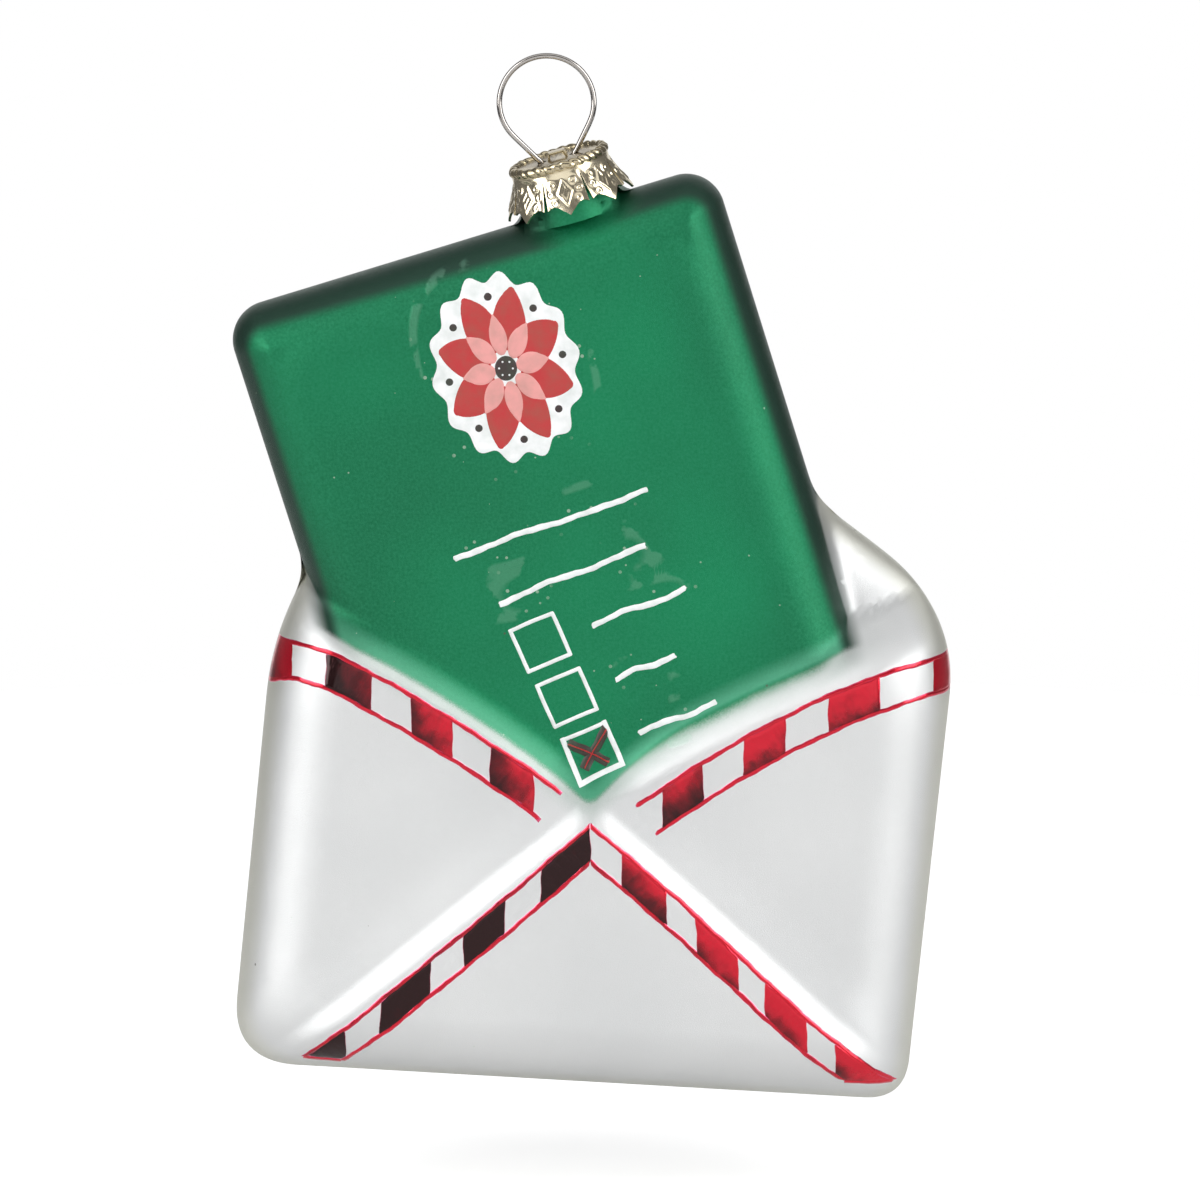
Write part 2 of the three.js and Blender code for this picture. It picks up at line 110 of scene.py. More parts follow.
def on_neck(x, y, z):
    """Millimetres in the leaning neck's own frame, in the frame's metres."""
    x, z = tilted(x, z, NECK_TILT)
    return at_cap_top(x, y, z)


def new_grid(name, columns, rows):
    """A flat grid, and how far each vertex lies along it and across it, from 0 to 1."""
    deselect()
    bpy.ops.mesh.primitive_grid_add(x_subdivisions=columns, y_subdivisions=rows, size=1)
    obj = bpy.context.object
    obj.name = name
    flat = vertices(obj)
    return obj, np.clip(flat[:, 0] + 0.5, 0, 1), np.clip(flat[:, 1] + 0.5, 0, 1)


def apply_modifier(obj, kind, **settings):
    use_only(obj)
    modifier = obj.modifiers.new(kind.title(), kind)
    for name, value in settings.items():
        setattr(modifier, name, value)
    bpy.ops.object.modifier_apply(modifier=modifier.name)


def merge_close(obj, distance=1e-7):
    use_only(obj)
    bpy.ops.object.mode_set(mode="EDIT")
    bpy.ops.mesh.select_all(action="SELECT")
    bpy.ops.mesh.remove_doubles(threshold=distance)
    bpy.ops.mesh.normals_make_consistent(inside=False)
    bpy.ops.object.mode_set(mode="OBJECT")


def join(name, pieces):
    deselect()
    for piece in pieces:
        piece.select_set(True)
    bpy.context.view_layer.objects.active = pieces[0]
    bpy.ops.object.join()
    pieces[0].name = name
    return pieces[0]


def boolean(obj, tool, operation):
    apply_modifier(obj, "BOOLEAN", object=tool, operation=operation, solver="MANIFOLD")
    bpy.data.objects.remove(tool)


def smooth(obj, degrees):
    use_only(obj)
    bpy.ops.object.shade_smooth_by_angle(angle=math.radians(degrees))


def give(obj, **attributes):
    for name, values in attributes.items():
        layer = obj.data.attributes.new(name, "FLOAT", "POINT")
        layer.data.foreach_set("value", np.broadcast_to(values, len(obj.data.vertices)).astype("f"))


def triangles(obj):
    return sum(len(face.vertices) - 2 for face in obj.data.polygons)


# %% [markdown]
# ## The mould
# The glass takes its shape from a mould, so the mould comes first: soft rectangles and lines in
# the picture plane, and the height of the glass over each point of it. A distance is below zero
# inside an outline. The numbers are those of the CAD model, in millimetres from the cap's top, but
# the slope beside the lower flap is a little longer here.

# %% Outlines of the letter and the envelope
NECK_TO_LETTER, NECK_OFF_CENTRE, NECK_ROOT_R, NECK_ROOT_H = 6.5, 13.8, 6, 2
LETTER_TILT = math.radians(17.2)
LETTER_W, LETTER_L, LETTER_T, LETTER_ROLL, LETTER_CORNER_R = 63.6, 79, 16, 8, 4.8
BASE_MID, BASE_SLOPE, SIDE_LEAN = (1.2, -117.4), math.radians(3.4), math.radians(5.8)
ENVELOPE_W, FLAP_APEX = 85.2, (-11.2, 98)
SIDE_H_LEFT, SIDE_H_RIGHT = 60, 62.5
ENVELOPE_ROUNDING = [8, 5, 9, 8, 8]  # at each corner, from the base's left end
CREASE = 2.5


def soft_max(a, b, width):
    h = np.maximum(width - np.abs(a - b), 0) / width
    return np.maximum(a, b) + h * h * width / 4


def soft_min(a, b, width):
    return -soft_max(-a, -b, width)


def smooth_step(x, low, high):
    t = np.clip((x - low) / (high - low), 0, 1)
    return t * t * (3 - 2 * t)


def crowd_ends(t):
    """Steps from 0 to 1 that are short at both ends."""
    return (1 - np.cos(np.pi * t)) / 2


def letter_distance(x, z):
    across, along = tilted(x, z, -LETTER_TILT)
    qx = np.abs(across + NECK_OFF_CENTRE) - LETTER_W / 2 + LETTER_CORNER_R
    qz = np.abs(along + NECK_TO_LETTER + LETTER_L / 2) - LETTER_L / 2 + LETTER_CORNER_R
    outside = np.hypot(np.maximum(qx, 0), np.maximum(qz, 0))
    return outside + np.minimum(soft_max(qx, qz, LETTER_CORNER_R), 0) - LETTER_CORNER_R


def neck_root_distance(x, z):
    across, along = tilted(x, z, -NECK_TILT)
    return np.maximum(np.abs(across) - NECK_ROOT_R, np.abs(along + NECK_TO_LETTER) - NECK_ROOT_H)


def envelope_corners():
    base = np.array([math.cos(BASE_SLOPE), -math.sin(BASE_SLOPE)])
    side = np.array([math.sin(SIDE_LEAN), math.cos(SIDE_LEAN)])
    half = ENVELOPE_W / 2
    steps = [(-half, 0), (half, 0), (half, SIDE_H_RIGHT), FLAP_APEX, (-half, SIDE_H_LEFT)]
    return [np.array(BASE_MID) + a * base + b * side for a, b in steps]


def envelope_distance(x, z):
    corners = envelope_corners()
    to_edge = []
    for here, following in zip(corners, corners[1:] + corners[:1]):
        way = (following - here) / np.linalg.norm(following - here)
        to_edge.append((x - here[0]) * way[1] - (z - here[1]) * way[0])
    rounded = [soft_max(to_edge[i], to_edge[i - 1], w) for i, w in enumerate(ENVELOPE_ROUNDING)]
    return np.max(rounded, axis=0)


def outline_distance(x, z, inset=0):
    sheets = soft_min(letter_distance(x, z), envelope_distance(x, z), CREASE) + inset
    return sheets if inset else soft_min(sheets, neck_root_distance(x, z), CREASE)


# %% [markdown]
# The pocket's lip is a V with two slightly bowed arms, and the lower flap is a point under it.
# Each line starts at the crossing point, and the distance to its left says where the glass steps
# up or down.

# %% Heights of the mould
CROSS_X, CROSS_Z = 4.1, -82.2
LIP_LEFT, LIP_RIGHT = math.pi - math.radians(32.2), math.radians(25.8)
LOWER_LEFT, LOWER_RIGHT = math.pi + math.radians(39.3), -math.radians(43)
LIP_ARM_L, LIP_BOW, LIP_ROLL = 48, 1.9, 7
LOWER_STEP, LOWER_STEP_W, PANEL_DISH = 1.3, 3.2, 0.6
ENVELOPE_FRONT, ENVELOPE_BACK, ENVELOPE_ROLL = 12.5, 10.5, 10
POCKET_MID, FLAP_MID, FLAP_FRONT = -0.5, 4.5, 1.5


def beside(x, z, heading, bow=0.0):
    """How far a point is to the left of a line from the crossing point, which may be bowed."""
    run, left = tilted(x - CROSS_X, z - CROSS_Z, -heading)
    part = np.clip(run / LIP_ARM_L, 0, 1)
    return left - 4 * bow * part * (1 - part)


def above_lip(x, z):
    return soft_min(-beside(x, z, LIP_LEFT, -LIP_BOW), beside(x, z, LIP_RIGHT, LIP_BOW), LIP_ROLL)


def inside_lower_flap(x, z):
    return soft_min(beside(x, z, LOWER_LEFT), -beside(x, z, LOWER_RIGHT), LOWER_STEP_W)


def roll(depth, width):
    """Height of a rounded edge: 0 at its outline, 1 where the face starts."""
    t = np.clip(depth / width, 0, 1)
    return np.where(depth <= 0, 4 * depth / width, np.sqrt(t * (2 - t)))


def mould(x, z, inset=0):
    """How far the letter, the sheet's front and the sheet's back stand out over each point."""
    sheet_depth = -envelope_distance(x, z) - inset
    lip_depth = LIP_ROLL - above_lip(x, z) - inset
    letter = (LETTER_T / 2 - inset) * roll(-letter_distance(x, z) - inset, LETTER_ROLL - inset)
    if not inset:
        root = NECK_ROOT_R * roll(-neck_root_distance(x, z), NECK_ROOT_R)
        letter = soft_max(letter, root, CREASE)
    flap_depth = inside_lower_flap(x, z)
    lower = 0.6 * smooth_step(flap_depth, -LOWER_STEP_W, 0) + 0.4 * smooth_step(flap_depth, -9, 0.5)
    panel = np.minimum(roll(sheet_depth, 3 * ENVELOPE_ROLL), roll(lip_depth, 3 * ENVELOPE_ROLL))
    pocket = ENVELOPE_FRONT - inset + LOWER_STEP * (lower - 1) - PANEL_DISH * panel * (1 - lower)
    lip = (np.clip(roll(lip_depth, LIP_ROLL), 0, 1) + smooth_step(lip_depth, 0, LIP_ROLL)) / 2
    face = FLAP_FRONT - inset + (pocket - FLAP_FRONT + inset) * lip
    middle = FLAP_MID + (POCKET_MID - FLAP_MID) * smooth_step(lip_depth, -LIP_ROLL, LIP_ROLL)
    edge = roll(sheet_depth, ENVELOPE_ROLL - inset)
    front = -middle + (face + middle) * edge
    back = middle + (ENVELOPE_BACK - inset - middle) * edge
    return letter, front, back


def front_face(x, z):
    """The Y of the front of the glass over a point."""
    letter, front, _ = mould(x, z)
    return -soft_max(letter, front, CREASE)


print("glass front at the crossing point:", round(float(front_face(CROSS_X, CROSS_Z)), 2), "mm")

# %% [markdown]
# ## Blowing the glass
# A glassblower starts from a bubble, so this piece starts from a sphere. Its poles look forwards
# and back, each column of vertices runs from one pole to the other over the outline, and every
# vertex is moved to the mould. The poles lie at the crossing point of the V, and columns crowd
# along its arms, which keeps the lip crisp. A cube with booleans would need all the soft roundings
# to be made by hand.

# %% Columns of the bubble
TURN_WEIGHT, ARM_WEIGHT, ARM_SPREAD = 10, 60, math.radians(9)


def outline_reach(heading, inset):
    near = np.zeros_like(heading)
    far = np.full_like(heading, ENVELOPE_W + LETTER_L)
    for _ in range(40):
        r = (near + far) / 2
        x, z = CROSS_X + r * np.cos(heading), CROSS_Z + r * np.sin(heading)
        inside = outline_distance(x, z, inset) < 0
        near, far = np.where(inside, r, near), np.where(inside, far, r)
    return near


def column_headings(count, inset, samples=2880):
    """Close together where the outline turns and beside the arms of the lip and the lower flap."""
    step = 2 * math.pi / samples
    heading = np.arange(samples) * step
    r = outline_reach(heading, inset)
    edge = r * np.exp(1j * heading)
    way = np.roll(edge, -1) - edge
    turn = np.abs(np.angle(way / np.roll(way, 1)))
    arms = np.array([LIP_LEFT, LIP_RIGHT, LOWER_LEFT, LOWER_RIGHT + 2 * math.pi])
    near_arm = np.exp(-((heading[:, None] - arms) / ARM_SPREAD) ** 2).sum(1)
    weight = np.abs(way) + TURN_WEIGHT * turn + ARM_WEIGHT * near_arm * step
    total = np.concatenate([[0], np.cumsum(weight)])
    return np.interp(total[-1] * np.arange(count) / count, total, np.arange(samples + 1) * step)


def blow_bubble(name, columns, roll_rings, front_rings, back_rings, inset=0.0):
    rings = front_rings + 2 * roll_rings + back_rings
    deselect()
    bpy.ops.mesh.primitive_uv_sphere_add(segments=columns, ring_count=rings, radius=1)
    bubble = bpy.context.object
    bubble.name = name
    ball = vertices(bubble)
    ring = np.rint(np.arccos(np.clip(ball[:, 2], -1, 1)) / math.pi * rings)
    column = np.rint(np.arctan2(ball[:, 1], ball[:, 0]) / (2 * math.pi) * columns).astype(int) % columns
    edge_ring = front_rings + roll_rings
    from_edge = np.abs(ring - edge_ring)
    quarter = np.minimum(from_edge / roll_rings, 1) * math.pi / 2
    roll_in = (LETTER_ROLL - inset) * (1 - np.cos(quarter))
    face_rings = np.where(ring < edge_ring, front_rings, back_rings)
    on_face = np.maximum(from_edge - roll_rings, 0) / face_rings
    headings = column_headings(columns, inset)
    reach = outline_reach(headings, inset)[column]
    distance = (reach - roll_in) * (1 - on_face)
    x = CROSS_X + distance * np.cos(headings[column])
    z = CROSS_Z + distance * np.sin(headings[column])
    letter, front, back = mould(x, z, inset)
    forwards, backwards = -soft_max(letter, front, CREASE), soft_max(letter, back, CREASE)
    y = np.where(ring < edge_ring, forwards, backwards)
    y = np.where(ring == edge_ring, (forwards + backwards) / 2, y)
    move_vertices(bubble, at_cap_top(x, y, z))
    return bubble


glass = blow_bubble("ornament_glass", columns=480, roll_rings=18, front_rings=72, back_rings=30)
print("outer bubble:", triangles(glass), "triangles")

# %% [markdown]
# The neck is a short tube with a fire-polished rim, and with the cap off one can look into it. So
# the glass gets its real wall: the inner bubble, the bore and a flatter throat under it are taken
# away. The inner bubble is cut back first wherever it comes within half a millimetre of the front
# or the back. A turned part is a grid wrapped round its axis, with its profile in a list of points.

# %% Neck, inside and bore
WALL, WALL_THINNEST, NECK_R, NECK_RIM = 1.0, 0.5, 5.6, -0.55
BORE_R, BORE_DEPTH, BORE_TOP, THROAT_DEPTH, THROAT_FLATNESS = NECK_R - WALL, 0.6, 0.5, 3, 0.6


def turned(name, profile, steps=96):
    """A profile of (radius, height) pairs, listed from the foot, turned about the neck's axis."""
    obj, along, across = new_grid(name, steps, len(profile) - 1)
    row = np.rint(across * (len(profile) - 1)).astype(int)
    radius, height = np.array(profile, float)[row].T
    turn = along * 2 * math.pi
    move_vertices(obj, on_neck(radius * np.cos(turn), radius * np.sin(turn), height))
    merge_close(obj)
    return obj


def plug(name, radius, low, high):
    return turned(name, [(0, low), (radius, low), (radius, high), (0, high)])


foot = -NECK_TO_LETTER - WALL
rim = [(NECK_R - WALL / 2 + WALL / 2 * math.cos(a), NECK_RIM - WALL / 2 + WALL / 2 * math.sin(a))
       for a in np.linspace(0, math.pi, 9)]
tube = turned("neck_tube", [(0, foot), (NECK_R, foot), *rim, (0, rim[-1][1])])
inside = blow_bubble("inside", columns=96, roll_rings=6, front_rings=16, back_rings=10, inset=WALL)
for side in (-1, 1):
    use_only(glass)
    bpy.ops.object.duplicate()
    shifted = bpy.context.object
    move_vertices(shifted, vertices(shifted) + (0, side * WALL_THINNEST * MM, 0))
    boolean(inside, shifted, "INTERSECT")
bore = plug("bore", BORE_R, -NECK_TO_LETTER - BORE_DEPTH, BORE_TOP)
throat = plug("throat", BORE_R, -NECK_TO_LETTER - THROAT_DEPTH, -NECK_TO_LETTER)
move_vertices(throat, vertices(throat) * (1, THROAT_FLATNESS, 1))
boolean(glass, tube, "UNION")
for hollow in (inside, bore, throat):
    boolean(glass, hollow, "DIFFERENCE")
smooth(glass, 50)
print("glass shell:", triangles(glass), "triangles")

# %% [markdown]
# The lacquers are sprayed on, so their borders are soft. The mesh carries what the lacquer and its
# painted light and shade need to know about each point, in millimetres: how far it is on the sheet's
# side of the crease, how deep inside the outlines and inside the letter's painted dark rim, how far
# above the lip, how high up the neck, where the painted light on the neck under the cap lies, and
# how deep inside the clear film that each transfer had. The shader turns them into borders.

# %% What the lacquer needs to know
BESIDE_LETTER = 8  # added on the sheet beside the letter, so that its edge stays pearl
RIGHT_ARM_RISE = 2.3  # the green ends this much higher along the right arm of the lip
# Painted shade: widths of the dark band painted on the letter's side rims and top rim, and how much the top
# one narrows across the letter
SIDE_RIM_W, TOP_RIM_W, TOP_RIM_FALL = 1.4, 2.3, 1.6
# Painted light: where the lighter patch on the neck's root sits across the neck, and its width
LIT_NECK_X, LIT_NECK_W = 1.2, 5.8
FLOWER, FLOWER_TILT, RULED_TILT = (-6.4, -25.0), math.radians(14), math.radians(21)
FLOWER_FILM = (10.6, 13.4)
RULED_FILMS = [((-0.9, -44.6), 13.5, 3.2), ((1.8, -51.0), 11.0, 3.0), ((10.0, -55.2), 7.6, 2.6),
                 ((10.8, -62.8), 5.2, 2.4), ((14.9, -69.3), 6.4, 2.6)]


def inside_patch(x, z, centre, half_w, half_h, tilt):
    ax, az = tilted(x - centre[0], z - centre[1], -tilt)
    return (1 - (np.abs(ax / half_w) ** 3 + np.abs(az / half_h) ** 3) ** (1 / 3)) * min(half_w, half_h)


gx, gy, gz = (vertices(glass) / MM - CAP_TOP).T
letter, front, back = mould(gx, gz)
on_front = gy < (back - front) / 2
sheet = np.where(on_front, front, back)
letter_depth, envelope_depth = -letter_distance(gx, gz), -envelope_distance(gx, gz)
beside_letter = smooth_step(-letter_depth, -1.2, 0.8) * smooth_step(envelope_depth, -3.5, 0.5)
right_arm = beside(gx, gz, LIP_RIGHT, LIP_BOW) - RIGHT_ARM_RISE * smooth_step(gx - CROSS_X, -4, 12)
lip_line = soft_min(-beside(gx, gz, LIP_LEFT, -LIP_BOW), right_arm, 1.5)
across_neck, up_neck = tilted(gx, gz, -NECK_TILT)
up_neck = up_neck + NECK_TO_LETTER
# Painted light: a lighter patch on the neck's root under the cap, which keeps the painted shade off it
painted_neck_light = np.exp(-(((across_neck - LIT_NECK_X) / LIT_NECK_W) ** 4)) * smooth_step(up_neck, -8, -3)
below_top = -up_neck - TOP_RIM_W + TOP_RIM_FALL * smooth_step(across_neck, -6, 8)
films = [inside_patch(gx, gz, FLOWER, *FLOWER_FILM, FLOWER_TILT)]
films += [inside_patch(gx, gz, centre, w, h, RULED_TILT) for centre, w, h in RULED_FILMS]
give(glass, on_sheet=np.clip(sheet - letter, -4, 8) + BESIDE_LETTER * beside_letter,
     edge_depth=np.clip(-outline_distance(gx, gz), 0, 20), letter_depth=np.clip(letter_depth, -5, 20),
     above_lip=np.where(on_front, lip_line, 30), up_neck=up_neck, under_cap=painted_neck_light,
     rim_depth=np.minimum(letter_depth - SIDE_RIM_W, below_top), on_front=on_front,
     film_depth=np.where(on_front, np.clip(np.max(films, axis=0), -6, 6), -6))
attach(glass, "glass")
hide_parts("glass_body")

# %% [markdown]
# ## Hand-painted stripes
# The red bands are brushed on over the silver: two thin lines, with blocks of red between them.
# Each is a thin film with its own soft edge. It is made from a grid that follows the middle of
# the band and takes its height from the mould, so that it lies on the glass from any side.
# A picture of the stripes on the glass would lose their thickness and their gloss.

# %% A curve through points, and a film of paint


def curve_through(points, steps=24):
    """Centripetal Catmull-Rom: smooth, and it never loops between close points."""
    p = np.array(points, float)
    p = np.vstack([2 * p[0] - p[1], p, 2 * p[-1] - p[-2]])
    pieces = []
    for four in zip(p[:-3], p[1:-2], p[2:-1], p[3:]):
        k = np.cumsum([0] + [np.linalg.norm(b - a) ** 0.5 for a, b in zip(four, four[1:])])
        t = np.linspace(k[1], k[2], steps, endpoint=False)[:, None]

        def blend(a, b, i, j):
            return ((k[j] - t) * a + (t - k[i]) * b) / (k[j] - k[i])

        ab, bc, cd = (blend(four[i], four[i + 1], i, i + 1) for i in range(3))
        pieces.append(blend(blend(ab, bc, 0, 2), blend(bc, cd, 1, 3), 1, 2))
    return np.vstack(pieces + [p[-2:-1]])


def run_of(curve):
    """How far along the curve each of its points is."""
    return np.concatenate([[0], np.cumsum(np.linalg.norm(np.diff(curve, axis=0), axis=1))])


def along_curve(curve, distance):
    """The place and the left-hand side of a flat curve at each distance, straight on past its ends."""
    steps = run_of(curve)
    way = np.gradient(curve, steps, axis=0)
    way /= np.linalg.norm(way, axis=1, keepdims=True)
    tx, tz = (np.interp(distance, steps, way[:, i]) for i in (0, 1))
    past = distance - np.clip(distance, 0, steps[-1])
    x, z = (np.interp(distance, steps, curve[:, i]) for i in (0, 1))
    return (x + past * tx, z + past * tz), (-tz, tx)


def wobble(distance, size, seed):
    """An unsteady hand: a few slow waves that never repeat together."""
    waves = (0.7, 1.3), (1.6, 2.9), (3.7, 4.1)
    return size * sum(np.sin(distance * f + seed * k) / (1 + f) for f, k in waves)


FILM, FILM_EDGE, FILM_BODY = 0.09, 0.28, 0.07  # mm: height of the paint, its soft edge, its thickness
SUNK, STROKE_STEP, CALM_END = 0.03, 0.35, 2


def lay_paint(obj, x, z, rim, film=FILM):
    """Puts a flat film on the glass. rim is each vertex's distance to its edge, which is sunk."""
    lift = film * smooth_step(rim, 0, FILM_EDGE) - SUNK * (rim <= 1e-6)
    move_vertices(obj, at_cap_top(x, front_face(x, z) - lift, z))
    give(obj, rim=rim)
    merge_close(obj)
    apply_modifier(obj, "SOLIDIFY", thickness=FILM_BODY * MM, offset=-1)
    return obj


def cut_shift(curve, at, off, cut):
    """How far an end moves along its curve, off to the side, to be cut at this many degrees."""
    if cut is None:
        return 0
    _, (sx, sz) = along_curve(curve, at)
    cx, cz = math.cos(math.radians(cut)), math.sin(math.radians(cut))
    return -off * (sx * cz - sz * cx) / (sz * cz + sx * cx)


def edge_of_glass(curve, off, near, far):
    """Where a line beside the curve leaves the outline, between two distances along it."""
    inside, outside = np.full(off.shape, float(near)), np.full(off.shape, float(far))
    for _ in range(24):
        middle = (inside + outside) / 2
        (x, z), (sx, sz) = along_curve(curve, middle)
        still_in = outline_distance(x + sx * off, z + sz * off) < -SUNK
        inside, outside = np.where(still_in, middle, inside), np.where(still_in, outside, middle)
    return inside


def brush(name, curve, start, end, low, high, seed, film=FILM, rows=12, size=0.16,
          cuts=(None, None), over=None, tone=0.0, shade_lean=(0.0, 0.0)):
    """A stroke along part of a curve, from low to high millimetres to its left. An end that goes
    over the edge of the glass has its columns drawn together there, where the glass turns away.
    The painted shade falls towards the stroke's end and its left side, by the two shares of its lean."""
    length = end - start
    obj, u, v = new_grid(name, max(int(length / STROKE_STEP), 10), rows)
    across = crowd_ends(v)
    flat_off = low + (high - low) * across
    first = start + cut_shift(curve, start, flat_off, cuts[0])
    last = end + cut_shift(curve, end, flat_off, cuts[1])
    share = (crowd_ends(u) + u) / 2
    if over == "start":
        first, share = edge_of_glass(curve, flat_off, end, 0), u ** 2
    if over == "end":
        last, share = edge_of_glass(curve, flat_off, start, run_of(curve)[-1]), 1 - (1 - u) ** 2
    unsteady = wobble(across * 3 + 2 * (share > 0.5), size, seed + 5) * (over is None)
    shift = first + (last - first) * share + unsteady
    to_edge = {"start": shift - first, "end": last - shift}.get(over, CALM_END)
    calm = smooth_step(to_edge, 0, CALM_END)
    off_low = low + wobble(shift, size, seed) * calm
    off = off_low + (high + wobble(shift, size, seed + 9) * calm - off_low) * across
    (x, z), (sx, sz) = along_curve(curve, shift)
    to_start = np.where(over == "start", 99, share * length)
    to_end = np.where(over == "end", 99, (1 - share) * length)
    rim = np.minimum(np.minimum(to_start, to_end), np.minimum(across, 1 - across) * (high - low))
    # Painted shade for the enamel: the stroke's shade, leaning along and across it
    give(obj, tone=tone - shade_lean[0] * (share - 0.5) - shade_lean[1] * (across - 0.5), along=shift, across=off)
    return lay_paint(obj, x + sx * off, z + sz * off, rim, film)


# %% [markdown]
# Every band is set out in the same way: the middle line, half its width, where its blocks of red
# begin and end across the picture in millimetres, and the painted shade of each block and line,
# with how it leans along and across the blocks.

# %% Bands along the lip and the lower flap
LINE_W, FOOT_CUT = 0.62, -7
BANDS = {
    "lip_left": dict(
        middle=[(-38.6, -64.2), (-33.5, -62.2), (-28.6, -62.8), (-23.3, -65.4), (-13.1, -71.5),
                (-3.2, -78.2), (-0.9, -80.0)],
        half=2.15, blocks=[(-37.2, -33.0), (-28.8, -23.1), (-18.3, -13.0), (-8.5, -3.0)],
        tones=[0.15, 0.85, 0.45, 0.5], shade_lean=(0.5, 0.25), line_tones=(0.15, 0.1), over="start"),
    "lip_right": dict(
        middle=[(10.8, -81.8), (18.2, -76.8), (28.3, -70.9), (39.8, -65.7), (46.4, -64.3),
                (51.8, -64.6)],
        half=2.15, blocks=[(12.9, 18.2), (23.0, 28.3), (33.6, 40.1), (46.6, 50.0)],
        tones=[0.62, 0.25, 0.25, 0.0], shade_lean=(0.0, 0.7), line_tones=(0.2, 0.15), over="end"),
    "flap_left": dict(
        middle=[(4.0, -84.4), (-6.5, -93.6), (-16.0, -101.6), (-22.0, -106.6), (-29.6, -112.9)],
        half=1.75, blocks=[(4.0, -2.3), (-6.5, -11.9), (-15.9, -22.3), (-26.5, -29.4)],
        tones=[1.1, 1.15, 1.15, 1.1], shade_lean=(0.1, 0.1), line_tones=(0.35, 0.2), over=None),
    "flap_right": dict(
        middle=[(4.0, -84.3), (13.5, -92.6), (22.2, -100.8), (30.0, -108.2), (38.9, -115.8)],
        half=1.75, blocks=[(7.9, 13.6), (17.1, 22.6), (25.7, 31.1), (34.6, 38.9)],
        tones=[0.45, 0.2, 0.15, 0.25], shade_lean=(0.1, 0.8), line_tones=(0.25, 0.0), over=None),
}


def distance_at_x(curve, x):
    order = np.argsort(curve[:, 0])
    return float(np.interp(x, curve[order, 0], run_of(curve)[order]))


def paint_band(name, middle, half, blocks, tones, shade_lean, line_tones, over, seed):
    """Two lines, the blocks between them, and on the lower flap a third line along their feet."""
    curve = curve_through(middle)
    length = run_of(curve)[-1]
    on_flap = over is None
    foot_cut = FOOT_CUT if on_flap else None
    line_cuts = (90, foot_cut) if on_flap else (None, None)
    pieces = []
    for side, tone in zip((-1, 1), line_tones):
        low, high = sorted((side * (half - LINE_W / 2), side * (half + LINE_W / 2)))
        pieces.append(brush(name, curve, 0, length, low, high, seed + side, film=FILM + 0.03, rows=8,
                            size=0.1, cuts=line_cuts, over=over, tone=tone))
    for number, (ends, tone) in enumerate(zip(blocks, tones)):
        start, end = sorted(distance_at_x(curve, x) for x in ends)
        last = number == len(blocks) - 1
        cuts = (90, foot_cut if on_flap and last else 90)
        at_edge = (over == "start" and number == 0) or (over == "end" and last)
        pieces.append(brush(name, curve, start, end, -half, half, seed + 3 * number, cuts=cuts,
                            over=over if at_edge else None, tone=tone, shade_lean=shade_lean))
    if on_flap:
        sides = np.array([-half, 0, half])
        (x, z), (sx, sz) = along_curve(curve, length + cut_shift(curve, length, sides, foot_cut))
        foot = np.stack([x + sx * sides, z + sz * sides], -1)
        foot = curve_through(foot[np.argsort(foot[:, 0])])
        pieces.append(brush(name, foot, 0, run_of(foot)[-1], -LINE_W / 2, LINE_W / 2, seed + 40,
                            film=FILM + 0.05, rows=8, size=0.06, tone=0.1))
    return pieces


stripes = {}
for seed, (name, band) in enumerate(BANDS.items()):
    made = paint_band(name, seed=seed, **band)
    stripes[name] = join(name + "_stripes", made)
    smooth(stripes[name], 60)
    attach(stripes[name], "glass")
    print(name, "stripes:", triangles(stripes[name]), "triangles")

# %% [markdown]
# ## Painting on the letter
# The letter carries a red winter flower on a scalloped white ground, ruled lines and three boxes,
# one of them with a cross. Petals are grids whose width swells and closes, and round things are
# grids wound about a middle.

# %% Petals, discs and lines
PAINTS = {
    "white": (0.90, 0.91, 0.91), "red": (0.50, 0.022, 0.025), "pink": (0.80, 0.34, 0.32),
    "dark": (0.035, 0.016, 0.016), "brown": (0.028, 0.016, 0.010),
}


def tint(obj, colour):
    layer = obj.data.attributes.new("paint", "FLOAT_COLOR", "POINT")
    values = np.tile((*PAINTS[colour], 1.0), (len(obj.data.vertices), 1))
    layer.data.foreach_set("color", values.ravel().astype("f"))
    return obj


def disc(centre, radii, colour, film, scallops=0, depth=0.0, tilt=0.0, steps=96):
    obj, u, v = new_grid("disc", steps, 10)
    turn = u * 2 * math.pi
    out = 1 - (1 - v) ** 1.6
    edge = 1 - depth * (0.5 - 0.5 * np.cos(scallops * turn))
    ax, az = radii[0] * out * edge * np.cos(turn), radii[1] * out * edge * np.sin(turn)
    x, z = tilted_about(centre, ax, az, tilt)
    return tint(lay_paint(obj, x, z, (1 - out) * min(radii), film), colour)


def petal(heading, start, end, width, colour, film):
    obj, u, v = new_grid("petal", 22, 10)
    across = crowd_ends(v)
    half = width / 2 * np.sin(np.pi * u ** 0.8) ** 0.75
    ax, az = tilted(start + (end - start) * u, (2 * across - 1) * half, heading)
    x, z = tilted_about(FLOWER, ax, az * FLOWER_STRETCH, FLOWER_TILT)
    rim = np.minimum(np.minimum(across, 1 - across) * 2 * half, np.minimum(u, 1 - u) * (end - start))
    return tint(lay_paint(obj, x, z, rim, film), colour)


def line(points, width, colour, film=FILM, seed=0, size=0.05):
    curve = curve_through(points)
    return tint(brush("line", curve, 0, run_of(curve)[-1], -width / 2, width / 2, seed,
                      film=film, rows=6, size=size), colour)


